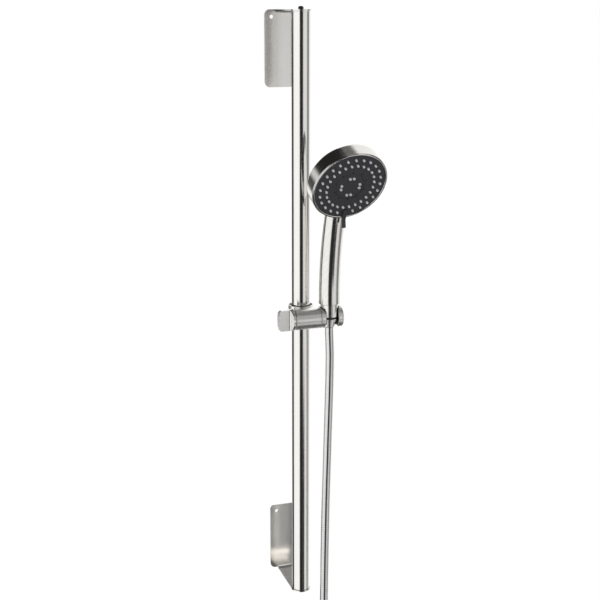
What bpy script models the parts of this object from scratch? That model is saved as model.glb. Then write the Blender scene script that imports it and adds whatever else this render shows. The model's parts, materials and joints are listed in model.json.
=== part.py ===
"""A hand shower set: wall rail, clamp slider, tilting holder, hand shower and hose.

Lengths are in millimetres in this file and become metres as meshes and empties are made.
The origin lies on the wall face of the lower bracket, +Z runs up the rail and +Y into the wall.
"""

import math

import bmesh
import bpy
from mathutils import Vector

MM = 0.001
GAP = 0.3  # clearance between pieces that touch

# Rail and brackets
RAIL_LENGTH = 796.0
RAIL_RADIUS = 12.5
RAIL_WALL = 1.5
RAIL_TO_WALL = 70.0
SHEET = 2.0
PLATE_WIDTH = 50.0
PLATE_HEIGHT = 101.0
PLATE_CORNER = 7.0
PLATE_SHIFT = 2.0  # the tongue is this far off the middle of the plate
PLATE_HOLE = 2.5
PLATE_HOLE_INSET = 9.5
TONGUE_WIDTH = 27.0
TONGUE_BASE = 23.6  # its width at the wall
BEND_RADIUS = 3.0
SCREW_SHANK = 2.0
SCREW_HEAD = 3.6
SCREW_HEAD_HEIGHT = 3.7
SCREW_LENGTH = 16.0
PLUG_LENGTH = 18.0
ORIGIN_HEIGHT = PLATE_HEIGHT / 2 - SHEET

# Slider and clamp
SLIDER_HEIGHT = 400.5  # the clamp axis, from the rail's lower end
BARREL_REACH = 27.0  # from the rail's axis to the clamp axis
BARREL_RADIUS = 14.0
BARREL_LEFT = -18.8
BARREL_RIGHT = 15.2
COLLAR_RADIUS = 17.2
COLLAR_HALF = 13.3
BUSH_INSET = 0.5  # how far the bush's ends lie inside the collar
COLLAR_BORE = 15.5
WEB_HALF = 12.25
WEB_LEFT = -13.5
CLAMP_BORE = 9.5
CLAMP_BORE_END = 4.0
PIVOT_BORE = 4.0
BUSH_BORE = 12.8
CAM_RADIUS = 6.0
CAM_THROW = 0.5
PAD_LEFT = -8.5
PAD_RIGHT = -1.5
PAD_HALF = 4.7
KNOB_RADIUS = 14.4
KNOB_OUTER = -40.8
KNOB_INNER = -20.0
KNOB_FLAT = 4.0  # half the thickness of the paddle

# Holder
HOLDER_LEFT = 15.9
HOLDER_RIGHT = 44.8
CAP_END = 48.0
SOCKET_X = 30.6
SOCKET_TOP_RADIUS = 13.6
SOCKET_BOTTOM_RADIUS = 13.0
SOCKET_WALL_RADIUS = 15.8
SOCKET_LOW = -12.5
SOCKET_HIGH = 13.0
LINER_WALL = 0.8
SLOT_WIDTH = 18.2

# Hand shower, in its own frame: up the handle from the holder's tilt axis, -Y to the front
HANDSET_TURN = 5.0
HANDLE_BOTTOM = 18.6
HANDLE_RADIUS = 14.15
HANDLE_BORE = 11.6
NECK_BORE = 8.5
BEND_START = 30.0
BEND_HEIGHT = 121.5
BEND_REACH = 11.5
HEAD_HEIGHT = 181.6
HEAD_REACH = 59.5
HEAD_TILT = 30.0  # how far the spray points below the horizontal
HEAD_RADIUS = 50.8
HEAD_DEPTH = 21.5
HEAD_BACK = 33.0
RING_OUTER = 49.7
RING_INNER = 47.7
FACE_RADIUS = 47.4
FACE_TURN = 3.3
OUTER_NOZZLE_RING = 41.0
INNER_NOZZLE_RING = 32.3
NOZZLE_COUNT = 24
NOZZLE_RADIUS = 1.5
NOZZLE_HEIGHT = 2.0
MIST_HEIGHT = 1.6
INSERT_RADIUS = 19.0
SMALL_HOLE_RING = 21.2
SMALL_HOLE_COUNT = 10
SMALL_HOLE_RADIUS = 0.9
MIST_RING = 12.5
MIST_STEP = 2.65  # half the distance between the two nozzles of a pair
LEVER_WIDTH = 5.0
LEVER_DROP = 10.6

# Hose
HOSE_RADIUS = 6.0
COIL_RADIUS = 70.0
COIL_CENTRE = (28.0, -32.0, -169.0)
COIL_HALF = 18.0  # two turns and the crossing of the hose's two ends
TAIL_X = COIL_CENTRE[0] + COIL_RADIUS
TAIL_Y = -44.0
TAIL_TOP = -211.0
TAIL_END = -234.0
HOSE_ROUTE = (
    (30.6, -27.0, 386.8),
    (30.6, -27.0, 381.9),
    (30.8, -27.0, 376.0),
    (31.3, -27.0, 366.0),
    (31.9, -26.9, 346.0),
    (31.8, -26.5, 316.0),
    (31.3, -25.5, 276.0),
    (30.6, -24.4, 236.0),
    (30.1, -23.2, 196.0),
    (29.3, -22.0, 146.0),
    (28.8, -21.0, 96.0),
    (28.4, -20.3, 46.0),
    (28.0, -20.0, -4.0),
    (28.0, -20.0, -20.0),
    (31.4, -20.0, -39.0),
    (41.5, -20.0, -59.0),
    (56.1, -20.0, -79.0),
    (72.6, -20.0, -99.4),
)

TURN_STEPS = 20
FINE_STEPS = 44


# ---------------------------------------------------------------- materials


def material(name, color, roughness, metallic):
    made = bpy.data.materials.new(name)
    made.use_nodes = True
    shader = made.node_tree.nodes["Principled BSDF"]
    shader.inputs["Base Color"].default_value = (*color, 1.0)
    shader.inputs["Roughness"].default_value = roughness
    shader.inputs["Metallic"].default_value = metallic
    return made


def make_materials():
    return {
        "satin": material("satin nickel", (0.62, 0.60, 0.57), 0.30, 1.0),
        "brushed": material("brushed nickel", (0.55, 0.53, 0.50), 0.38, 1.0),
        "polished": material("polished nickel", (0.75, 0.74, 0.72), 0.12, 1.0),
        "steel": material("stainless steel", (0.66, 0.66, 0.66), 0.25, 1.0),
        "brass": material("brass", (0.72, 0.56, 0.28), 0.30, 1.0),
        "black": material("black plastic", (0.03, 0.03, 0.03), 0.45, 0.0),
        "charcoal": material("charcoal plastic", (0.05, 0.05, 0.055), 0.50, 0.0),
        "white": material("white plastic", (0.80, 0.80, 0.78), 0.45, 0.0),
        "rubber": material("grey rubber", (0.55, 0.55, 0.56), 0.60, 0.0),
        "dark rubber": material("dark rubber", (0.06, 0.06, 0.06), 0.70, 0.0),
    }


# ---------------------------------------------------------------- helpers


def mm(*values):
    return Vector(values) * MM


def axis_frame(name, place, turn=(0.0, 0.0, 0.0), parent=None):
    """An empty at a place in millimetres, turned by Euler angles in degrees."""
    frame = bpy.data.objects.new(name, None)
    frame.empty_display_size = 0.01
    frame.location = mm(*place)
    frame.rotation_euler = [math.radians(angle) for angle in turn]
    frame.parent = parent
    bpy.context.scene.collection.objects.link(frame)
    return frame


def finish(name, shape, parent, surface, place=(0.0, 0.0, 0.0), turn=(0.0, 0.0, 0.0)):
    """Turns a bmesh in millimetres into an object. Without a surface it is a cutter or a lump to join."""
    bmesh.ops.scale(shape, vec=(MM, MM, MM), verts=shape.verts)
    bmesh.ops.recalc_face_normals(shape, faces=shape.faces)
    mesh = bpy.data.meshes.new(name)
    shape.to_mesh(mesh)
    shape.free()
    made = bpy.data.objects.new(name, mesh)
    made.location = mm(*place)
    made.rotation_euler = [math.radians(angle) for angle in turn]
    made.parent = parent
    bpy.context.scene.collection.objects.link(made)
    if surface is None:
        made.hide_render = True
        made.display_type = "WIRE"
        return made
    mesh.materials.append(surface)
    mesh.shade_smooth()
    mesh.set_sharp_from_angle(angle=math.radians(35))
    return made


def boolean(target, other, operation, solver):
    step = target.modifiers.new(other.name, "BOOLEAN")
    step.operation = operation
    step.solver = solver
    step.object = other


def cut(target, *cutters, solver="EXACT"):
    for cutter in cutters:
        boolean(target, cutter, "DIFFERENCE", solver)


def join(target, *lumps, solver="EXACT"):
    for lump in lumps:
        boolean(target, lump, "UNION", solver)


def turned(profile, steps=TURN_STEPS):
    """Spins (radius, height) points round Z. A profile that leaves the axis free closes on itself."""
    shape = bmesh.new()
    rings = []
    for radius, height in profile:
        count = 1 if radius == 0 else steps
        angles = [math.tau * step / steps for step in range(count)]
        rings.append([shape.verts.new((radius * math.cos(a), radius * math.sin(a), height)) for a in angles])
    pairs = list(zip(rings, rings[1:]))
    if profile[0][0] > 0 and profile[-1][0] > 0:
        pairs.append((rings[-1], rings[0]))
    for low, high in pairs:
        wide = low if len(low) > 1 else high
        if len(low) != len(high) and math.isclose(low[0].co.z, high[0].co.z):
            shape.faces.new(wide)
            continue
        for step in range(steps):
            after = (step + 1) % steps
            corners = [low[step % len(low)], low[after % len(low)]]
            corners += [high[after % len(high)], high[step % len(high)]]
            corners = list(dict.fromkeys(corners))
            shape.faces.new(corners)
    bmesh.ops.delete(shape, geom=[v for v in shape.verts if not v.link_faces], context="VERTS")
    return shape


def rod(radius, low, high, steps=TURN_STEPS):
    return turned([(0, low), (radius, low), (radius, high), (0, high)], steps)


def washer(inner, outer, low, high, steps=TURN_STEPS):
    return turned([(inner, low), (outer, low), (outer, high), (inner, high)], steps)


def prism(outline, low, high):
    """Extrudes an outline in XY from one height to another."""
    shape = bmesh.new()
    face = shape.faces.new([shape.verts.new((x, y, low)) for x, y in outline])
    raised = bmesh.ops.extrude_face_region(shape, geom=[face])["geom"]
    moved = [item for item in raised if isinstance(item, bmesh.types.BMVert)]
    bmesh.ops.translate(shape, vec=(0, 0, high - low), verts=moved)
    return shape


def block(low, high):
    shape = bmesh.new()
    bmesh.ops.create_cube(shape, size=1.0)
    size = [b - a for a, b in zip(low, high)]
    middle = [(a + b) / 2 for a, b in zip(low, high)]
    bmesh.ops.scale(shape, vec=size, verts=shape.verts)
    bmesh.ops.translate(shape, vec=middle, verts=shape.verts)
    return shape


def posts(places, radius, low, high, sides=6):
    """Separate upright posts with the given number of sides."""
    shape = bmesh.new()
    for x, y in places:
        angles = [math.tau * side / sides for side in range(sides)]
        ring = [(x + radius * math.cos(a), y + radius * math.sin(a)) for a in angles]
        foot = [shape.verts.new((px, py, low)) for px, py in ring]
        top = [shape.verts.new((px, py, high)) for px, py in ring]
        shape.faces.new(foot)
        shape.faces.new(top)
        for side in range(sides):
            after = (side + 1) % sides
            shape.faces.new([foot[side], foot[after], top[after], top[side]])
    return shape


def lofted(sections, steps=TURN_STEPS):
    """Skins round sections, each a centre in YZ, a lean from upright in degrees and a radius."""
    shape = bmesh.new()
    rings = []
    for y, z, lean, radius in sections:
        tilt = math.radians(lean)
        ring = []
        for step in range(steps):
            angle = math.tau * step / steps
            across = radius * math.cos(angle)
            along = radius * math.sin(angle)
            ring.append(shape.verts.new((across, y + along * math.cos(tilt), z + along * math.sin(tilt))))
        rings.append(ring)
    for low, high in zip(rings, rings[1:]):
        for step in range(steps):
            after = (step + 1) % steps
            shape.faces.new([low[step], low[after], high[after], high[step]])
    shape.faces.new(rings[0])
    shape.faces.new(rings[-1])
    return shape


def arc(centre_x, centre_y, radius, start, end, steps):
    angles = [math.radians(start + (end - start) * step / steps) for step in range(steps + 1)]
    return [(centre_x + radius * math.cos(a), centre_y + radius * math.sin(a)) for a in angles]


def rounded_plate(left, right, low, high, radius, steps=4):
    corners = arc(right - radius, low + radius, radius, -90, 0, steps)
    corners += arc(right - radius, high - radius, radius, 0, 90, steps)
    corners += arc(left + radius, high - radius, radius, 90, 180, steps)
    corners += arc(left + radius, low + radius, radius, 180, 270, steps)
    return corners


def smooth_route(points, spacing):
    """Points about this far apart on a smooth curve through the route's own points."""
    knots = [Vector(point) for point in points]
    knots = [2 * knots[0] - knots[1], *knots, 2 * knots[-1] - knots[-2]]
    route = []
    for a, b, c, d in zip(knots, knots[1:], knots[2:], knots[3:]):
        count = max(1, round((c - b).length / spacing))
        for step in range(count):
            t = step / count
            bend = 2 * b + (c - a) * t + (2 * a - 5 * b + 4 * c - d) * t**2 + (3 * b - a - 3 * c + d) * t**3
            route.append(bend / 2)
    route.append(knots[-2])
    return route


def hose_piece(name, points, parent, surface):
    """A closed tube along a route."""
    curve = bpy.data.curves.new(name, "CURVE")
    curve.dimensions = "3D"
    curve.bevel_depth = HOSE_RADIUS * MM
    curve.bevel_resolution = 2
    curve.use_fill_caps = True
    curve.resolution_u = 1
    spline = curve.splines.new("POLY")
    spline.points.add(len(points) - 1)
    for knot, point in zip(spline.points, points):
        knot.co = (*(Vector(point) * MM), 1.0)
    curve.materials.append(surface)
    made = bpy.data.objects.new(name, curve)
    made.parent = parent
    bpy.context.scene.collection.objects.link(made)
    return made


# ---------------------------------------------------------------- rail and brackets


def make_bracket(name, parent, surface):
    """A plate on the wall with a tongue bent forward under the rail's end."""
    wall = RAIL_TO_WALL
    half = TONGUE_WIDTH / 2
    base = TONGUE_BASE / 2
    left = PLATE_SHIFT - PLATE_WIDTH / 2
    right = PLATE_SHIFT + PLATE_WIDTH / 2
    top = PLATE_HEIGHT - SHEET
    plate_outline = [(x, -z) for x, z in rounded_plate(left, right, -SHEET, top, PLATE_CORNER)]
    # The outline lies in XY, so a quarter turn about X stands it against the wall.
    bracket = finish(name, prism(plate_outline, wall - SHEET, wall), parent, surface, turn=(-90, 0, 0))
    # Under that quarter turn the plate's own axes are X, -Z and Y of the rail.
    tongue_outline = [(base, wall - SHEET / 2), (-base, wall - SHEET / 2)]
    tongue_outline += arc(0, 0, half, 180, 360, 10)
    tongue = finish(name + "_tongue", prism(tongue_outline, -SHEET, 0), parent, None)
    inside = arc(wall - SHEET - BEND_RADIUS, BEND_RADIUS, BEND_RADIUS, -90, 0, 4)
    fillet_outline = inside + [(wall - SHEET / 2, BEND_RADIUS), (wall - SHEET / 2, -SHEET / 2)]
    fillet_outline += [(wall - SHEET - BEND_RADIUS, -SHEET / 2)]
    fillet = finish(name + "_bend", prism(fillet_outline, -base, base), parent, None, turn=(90, 0, 90))
    join(bracket, tongue, fillet)
    inset = PLATE_HOLE_INSET
    corners = ((left + inset, top - inset), (right - inset, inset - SHEET))
    for number, (x, z) in enumerate(corners):
        hole = rod(PLATE_HOLE, -5, 5, 12)
        place = (x, wall - SHEET / 2, z)
        cut(bracket, finish(f"{name}_hole_{number}", hole, parent, None, place, (90, 0, 0)))
    cut(bracket, finish(name + "_tongue_hole", rod(2.3, -5, 5, 12), parent, None))
    return bracket


def make_end_screw(name, parent, surface):
    """A button-head screw that comes up through the tongue."""
    head = SCREW_HEAD
    low = -SHEET - GAP
    profile = [(0, low - SCREW_HEAD_HEIGHT), (head * 0.55, low - SCREW_HEAD_HEIGHT)]
    profile += [(head * 0.9, low - SCREW_HEAD_HEIGHT * 0.6), (head, low), (SCREW_SHANK, low)]
    profile += [(SCREW_SHANK, SCREW_LENGTH - 1), (SCREW_SHANK - 0.6, SCREW_LENGTH), (0, SCREW_LENGTH)]
    return finish(name, turned(profile, 16), parent, surface)


def make_rail(rail, paint):
    tube = washer(RAIL_RADIUS - RAIL_WALL, RAIL_RADIUS, GAP, RAIL_LENGTH - GAP, 32)
    finish("rail_tube", tube, rail, paint["satin"])
    top = axis_frame("rail_top", (0, 0, RAIL_LENGTH), (0, 180, 0), rail)
    for side, frame in (("lower", rail), ("upper", top)):
        make_bracket(side + "_bracket", frame, paint["satin"])
        plug = washer(SCREW_SHANK + GAP, RAIL_RADIUS - RAIL_WALL - 0.4, GAP, PLUG_LENGTH, 20)
        finish(side + "_rail_plug", plug, frame, paint["black"])
        make_end_screw(side + "_rail_screw", frame, paint["black"])


# ---------------------------------------------------------------- slider and clamp


def make_slider(slider, barrel, paint):
    tube = rod(BARREL_RADIUS, BARREL_LEFT, BARREL_RIGHT, 32)
    body = finish("slider_housing", tube, barrel, paint["brushed"])
    collar = finish("collar_lump", rod(COLLAR_RADIUS, -COLLAR_HALF, COLLAR_HALF, 28), slider, None)
    web = block((WEB_LEFT, -BARREL_REACH, -WEB_HALF), (BARREL_RIGHT, 0, WEB_HALF))
    join(body, collar, finish("web_lump", web, slider, None))
    rail_bore = finish("collar_bore", rod(COLLAR_BORE, -25, 25, 28), slider, None)
    clamp_bore = finish("clamp_bore", rod(CLAMP_BORE, BARREL_LEFT - 2, CLAMP_BORE_END, 24), barrel, None)
    pivot_bore = finish("pivot_bore", rod(PIVOT_BORE, 0, BARREL_RIGHT + 2, 20), barrel, None)
    window_low = (PAD_LEFT - GAP, -BARREL_REACH + 6, -PAD_HALF - GAP)
    window_high = (PAD_RIGHT + GAP, -14, PAD_HALF + GAP)
    window = finish("pad_window", block(window_low, window_high), slider, None)
    cut(body, rail_bore, clamp_bore, pivot_bore, window)
    bush_outer = COLLAR_BORE - GAP
    bush_half = COLLAR_HALF - BUSH_INSET
    bush_profile = [(BUSH_BORE, -bush_half), (bush_outer, -bush_half)]
    bush_profile += [(bush_outer, bush_half), (BUSH_BORE, bush_half)]
    finish("rail_bush", turned(bush_profile, 28), slider, paint["black"])
    pad_low = (PAD_LEFT, -BARREL_REACH + CAM_RADIUS - CAM_THROW + GAP, -PAD_HALF)
    pad_high = (PAD_RIGHT, -bush_outer - 0.6, PAD_HALF)
    finish("brake_pad", block(pad_low, pad_high), slider, paint["dark rubber"])
    finish("clamp_retainer", washer(5.0, 9.2, -18.5, -15.5, 24), barrel, paint["steel"])
    finish("knob_washer", washer(5.0, 12.0, -19.7, -19.1, 24), barrel, paint["white"])


def make_clamp(barrel, paint):
    """The cam and its neck are one turned pin, and the paddle knob is screwed to the neck."""
    cam = finish("clamp_cam", rod(4.6, -25.4, -14.0, 20), barrel, paint["steel"])
    lobe = finish("cam_lobe", rod(CAM_RADIUS, -15.0, -1.0, 24), barrel, None, (0, -CAM_THROW, 0))
    join(cam, lobe)
    dome = [(0, KNOB_OUTER), (8.0, KNOB_OUTER + 0.2), (12.4, KNOB_OUTER + 0.8)]
    dome += [(KNOB_RADIUS, KNOB_OUTER + 2.6)]
    dome += [(KNOB_RADIUS, KNOB_INNER - 0.5), (KNOB_RADIUS - 0.5, KNOB_INNER), (0, KNOB_INNER)]
    knob = finish("clamp_knob", turned(dome, 28), barrel, paint["brushed"])
    flat_end = -26.2
    slope_end = -22.5
    far = KNOB_RADIUS + 2
    for number, side in enumerate((-1, 1)):
        face = side * KNOB_FLAT
        outline = [(-45, face), (flat_end, face), (slope_end, side * far), (-45, side * far)]
        flat = prism(outline, -20, 20)
        cutter = finish(f"knob_flat_{number}", flat, barrel.parent, None, barrel.location / MM)
        cut(knob, cutter)
    neck_hole = finish("knob_neck_hole", rod(4.9, -25.7, KNOB_INNER + 1, 20), barrel, None)
    grub_hole = finish("knob_screw_hole", rod(1.8, 3.9, 16, 12), barrel, None, (0, 0, -22.0), (0, 90, 0))
    cut(knob, neck_hole, grub_hole)
    finish("knob_screw", rod(1.5, 5.0, 12.5, 12), barrel, paint["steel"], (0, 0, -22.0), (0, 90, 0))


# ---------------------------------------------------------------- holder


def make_holder(barrel, socket, paint):
    tube = rod(BARREL_RADIUS, HOLDER_LEFT, HOLDER_RIGHT, 32)
    body = finish("holder_socket", tube, barrel, paint["brushed"])
    wall = finish("socket_wall", rod(SOCKET_WALL_RADIUS, SOCKET_LOW, SOCKET_HIGH, 28), socket, None)
    front = block((-30, -30, -30), (30, -3, 30))
    cut(wall, finish("socket_front", front, socket, None))
    left = block((-30, -30, -30), (HOLDER_LEFT - SOCKET_X, 30, 30))
    right = block((HOLDER_RIGHT - SOCKET_X, -30, -30), (30, 30, 30))
    cut(wall, finish("socket_left", left, socket, None), finish("socket_right", right, socket, None))
    hole = [(0, -20), (SOCKET_BOTTOM_RADIUS, -20), (SOCKET_BOTTOM_RADIUS, SOCKET_LOW)]
    hole += [(SOCKET_TOP_RADIUS, SOCKET_HIGH), (SOCKET_TOP_RADIUS, 20), (0, 20)]
    bore = finish("socket_bore", turned(hole, 28), socket, None)
    slot = block((-SLOT_WIDTH / 2, -30, -30), (SLOT_WIDTH / 2, -5, 30))
    rivet_hole = finish("rivet_hole", rod(PIVOT_BORE, HOLDER_LEFT - 1, HOLDER_LEFT + 3, 20), barrel, None)
    join(body, wall)
    cut(body, bore, finish("socket_slot", slot, socket, None), rivet_hole)
    low, high = SOCKET_LOW, SOCKET_HIGH
    foot, rim = SOCKET_BOTTOM_RADIUS - GAP, SOCKET_TOP_RADIUS - GAP
    skin = [(foot - LINER_WALL, low), (foot, low), (rim, high), (rim - LINER_WALL, high)]
    liner = finish("holder_liner", turned(skin, 28), socket, paint["black"])
    liner_slot = block((-SLOT_WIDTH / 2 - 0.5, -30, -30), (SLOT_WIDTH / 2 + 0.5, -5, 30))
    cut(liner, finish("liner_slot", liner_slot, socket, None))
    cap_start = HOLDER_RIGHT + GAP
    cap = [(0, cap_start), (BARREL_RADIUS - 0.4, cap_start), (BARREL_RADIUS, cap_start + 0.4)]
    cap += [(BARREL_RADIUS, CAP_END - 1.8), (BARREL_RADIUS - 1.2, CAP_END - 0.8), (8.0, CAP_END - 0.2)]
    finish("holder_cap", turned(cap + [(0, CAP_END)], 32), barrel, paint["polished"])
    bolt = [(0, 1.0), (6.0, 1.0), (6.0, 3.2), (PIVOT_BORE - GAP, 3.2), (PIVOT_BORE - GAP, 17.0), (0, 17.0)]
    finish("tilt_bolt", turned(bolt, 20), barrel, paint["steel"])
    finish("tilt_spring_washer", washer(4.2, 7.0, 3.4, 3.8, 20), barrel, paint["steel"])
    friction = washer(4.2, 13.0, BARREL_RIGHT + 0.2, HOLDER_LEFT - 0.2, 28)
    finish("tilt_friction_washer", friction, barrel, paint["black"])


# ---------------------------------------------------------------- hand shower


def handle_reach(height):
    """How far the curved handle's centre line stands in front of the socket's axis."""
    past = max(0.0, height - BEND_START) / (BEND_HEIGHT - BEND_START)
    return BEND_REACH * past**2


def handle_lean(height):
    past = max(0.0, height - BEND_START) / (BEND_HEIGHT - BEND_START)
    return math.degrees(math.atan(2 * BEND_REACH * past / (BEND_HEIGHT - BEND_START)))


def handle_sections(heights, radius):
    return [(-handle_reach(z), z, -handle_lean(z), radius) for z in heights]


def head_outline():
    """The outside of the head's bowl, from its front edge to the middle of its back."""
    edge = HEAD_RADIUS
    back = -HEAD_DEPTH
    outline = [(0, -0.7), (edge - 0.3, -0.7), (edge, -1.0), (edge, back + 1.2), (edge - 0.4, back + 0.3)]
    outline += [(edge - 1.2, back)]
    rise = HEAD_BACK - HEAD_DEPTH
    for share in (0.8, 0.6, 0.4, 0.2, 0.0):
        outline.append(((edge - 1.2) * share, back - rise * (1 - share**2.6)))
    return outline


def head_hollow():
    """The inside of the bowl, with a wider step at the front for the ring and the face."""
    inner = RING_INNER - 0.2
    back = -HEAD_DEPTH
    rise = HEAD_BACK - HEAD_DEPTH
    hollow = [(0, 5), (RING_OUTER + GAP, 5), (RING_OUTER + GAP, -5.3), (inner, -5.3), (inner, back + 1.5)]
    for share in (0.75, 0.5, 0.25, 0.0):
        hollow.append((inner * share, back + 1.5 - (rise - 0.5) * (1 - share**2.6)))
    return hollow


def make_handset_shell(handset, face, paint):
    heights = (HANDLE_BOTTOM, 30, 48, 66, 84, 102, 120, 134, 146, 156)
    sections = handle_sections(heights, HANDLE_RADIUS)
    shell = finish("handset_shell", lofted(sections, 28), handset, paint["satin"])
    join(shell, finish("head_lump", turned(head_outline(), FINE_STEPS), face, None))
    hollow = finish("head_hollow", turned(head_hollow(), FINE_STEPS), face, None)
    bore = handle_sections((HANDLE_BOTTOM - 2, 30, 50, 70, 90, 110, 124), HANDLE_BORE)
    bore += handle_sections((128, 140, 152), NECK_BORE)
    cut(shell, hollow, finish("handle_bore", lofted(bore, 20), handset, None))


def make_water_way(handset, paint):
    tube = handle_sections((38, 50, 70, 90, 110, 128, 142), 6.2)
    pipe = finish("water_tube", lofted(tube, 12), handset, paint["white"])
    inner = handle_sections((36, 50, 70, 90, 110, 128, 144), 4.8)
    cut(pipe, finish("water_tube_bore", lofted(inner, 12), handset, None))
    connector = [(6.0, 7.5), (10.2, 7.5), (10.2, HANDLE_BOTTOM + GAP), (11.3, HANDLE_BOTTOM + GAP)]
    connector += [(11.3, 33.0), (9.0, 37.0), (6.0, 37.0)]
    finish("inlet_connector", turned(connector, 20), handset, paint["brass"])
    finish("flow_restrictor", washer(1.5, 5.7, 9.0, 13.0, 20), handset, paint["white"])
    finish("filter_washer", washer(4.0, 9.8, 5.3, 7.2, 24), handset, paint["dark rubber"])
    nut = [(6.7, 0.8), (11.3, 0.8), (11.6, 1.1), (12.2, HANDLE_BOTTOM - 0.5), (11.9, HANDLE_BOTTOM - 0.2)]
    nut += [(10.5, HANDLE_BOTTOM - 0.2), (10.5, 2.8), (6.7, 2.8)]
    finish("hose_nut", turned(nut, 24), handset, paint["brushed"])


def ring_places(radius, count, phase, skipped=()):
    angles = [math.tau * (step + phase) / count - math.pi / 2 for step in range(count) if step not in skipped]
    return [(radius * math.cos(a), radius * math.sin(a)) for a in angles]


def make_head(face, spray, paint):
    """The fixed pieces of the head: the front ring and the seat that the selector turns on."""
    ring = [(RING_INNER, -5.0), (RING_OUTER, -5.0), (RING_OUTER, -0.6), (RING_OUTER - 0.6, 0.0)]
    ring += [(RING_INNER + 0.4, 0.0), (RING_INNER, -0.4)]
    finish("head_ring", turned(ring, FINE_STEPS), face, paint["polished"])
    seat = finish("diverter_seat", rod(20.0, -15.5, -11.4, 24), face, paint["white"])
    pivot = finish("seat_pivot_hole", rod(2.9, -15.0, -10, 16), face, None)
    port = finish("seat_port", rod(2.2, -20, -10, 16), face, None, (0, -10, 0))
    pocket = finish("seat_pocket", rod(4.5, -13.5, -10, 20), face, None, (0, -10, 0))
    detent_place = (0, 14.0, 0)
    detent = finish("detent_hole", rod(1.8, -15.0, -10, 12), face, None, detent_place)
    cut(seat, pivot, port, pocket, detent)
    finish("diverter_seal", washer(2.2, 4.2, -13.2, -11.3, 20), face, paint["dark rubber"], (0, -10, 0))
    screw = [(0, -14.7), (2.6, -14.7), (2.6, -4.3), (4.6, -4.3), (4.6, -2.9), (0, -2.9)]
    finish("pivot_screw", turned(screw, 16),
           face, paint["steel"])
    ball = [(1.5 * math.sin(a), -11.8 + 1.5 * math.cos(a)) for a in (math.pi * step / 6 for step in range(7))]
    ball = [(0, ball[0][1]), *ball[1:-1], (0, ball[-1][1])]
    finish("detent_ball", turned(ball, 12), face, paint["steel"], detent_place)
    make_detent_spring(face, detent_place, paint["steel"])
    make_spray_face(spray, detent_place[1], paint)


def make_detent_spring(face, place, surface):
    turns, low, high, radius = 3.0, -14.6, -13.75, 1.1
    steps = 24
    curve = bpy.data.curves.new("detent_spring", "CURVE")
    curve.dimensions = "3D"
    curve.bevel_depth = 0.12 * MM
    curve.bevel_resolution = 0
    curve.use_fill_caps = True
    curve.resolution_u = 1
    spline = curve.splines.new("POLY")
    spline.points.add(steps)
    for step, knot in enumerate(spline.points):
        angle = math.tau * turns * step / steps
        point = mm(radius * math.cos(angle), radius * math.sin(angle), low + (high - low) * step / steps)
        knot.co = (*point, 1.0)
    curve.materials.append(surface)
    made = bpy.data.objects.new("detent_spring", curve)
    made.location = mm(*place)
    made.parent = face
    bpy.context.scene.collection.objects.link(made)


def make_spray_face(spray, detent_reach, paint):
    """The pieces that turn together when the lever is moved."""
    outer = ring_places(OUTER_NOZZLE_RING, NOZZLE_COUNT, 0, skipped=(0,))
    inner = ring_places(INNER_NOZZLE_RING, NOZZLE_COUNT, 0.5)
    nozzles = outer + inner
    plate = finish("face_plate", washer(INSERT_RADIUS + GAP, FACE_RADIUS, -2.4, -0.4, FINE_STEPS), spray,
                   paint["charcoal"])
    cut(plate, finish("nozzle_holes", posts(nozzles, NOZZLE_RADIUS + GAP, -5, 5), spray, None),
        solver="MANIFOLD")
    small = ring_places(SMALL_HOLE_RING, SMALL_HOLE_COUNT, 0)
    cut(plate, finish("small_holes", posts(small, SMALL_HOLE_RADIUS, -5, 5), spray, None), solver="MANIFOLD")
    peg = 1.3
    room = peg + GAP
    peg_hole = block((-room, -OUTER_NOZZLE_RING - room, -5), (room, -OUTER_NOZZLE_RING + room, 5))
    cut(plate, finish("lever_peg_hole", peg_hole, spray, None), solver="MANIFOLD")
    mat = finish("nozzle_mat", washer(24.0, 45.5, -4.2, -2.7, FINE_STEPS), spray, paint["rubber"])
    join(mat, finish("nozzle_nubs", posts(nozzles, NOZZLE_RADIUS, -3.5, NOZZLE_HEIGHT), spray, None),
         solver="MANIFOLD")
    insert = finish("mist_insert", rod(INSERT_RADIUS, -2.4, -0.3, 32), spray, paint["charcoal"])
    mist = [(MIST_RING * math.cos(a) + step * math.sin(a), MIST_RING * math.sin(a) - step * math.cos(a))
            for a in (math.tau * quarter / 4 for quarter in range(4)) for step in (-MIST_STEP, MIST_STEP)]
    join(insert, finish("mist_nubs", posts(mist, 0.9, -1.5, MIST_HEIGHT), spray, None))
    spread = finish("spray_plate", rod(45.2, -7.5, -4.6, 36), spray, paint["white"])
    rotor = finish("diverter_rotor", rod(18.0, -11.0, -7.9, 24), spray, paint["white"])
    cut(spread, finish("spread_pivot_hole", rod(2.9, -9, -3, 16), spray, None))
    ports = finish("rotor_port", rod(2.2, -15, -5, 14), spray, None, (0, -10, 0))
    track = finish("detent_track", washer(detent_reach - 1.9, detent_reach + 1.9, -13, -9.9, 32), spray, None)
    cut(rotor, finish("rotor_pivot_hole", rod(2.9, -15, -5, 16), spray, None), ports, track)
    make_lever(spray, peg, paint["charcoal"])


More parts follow.
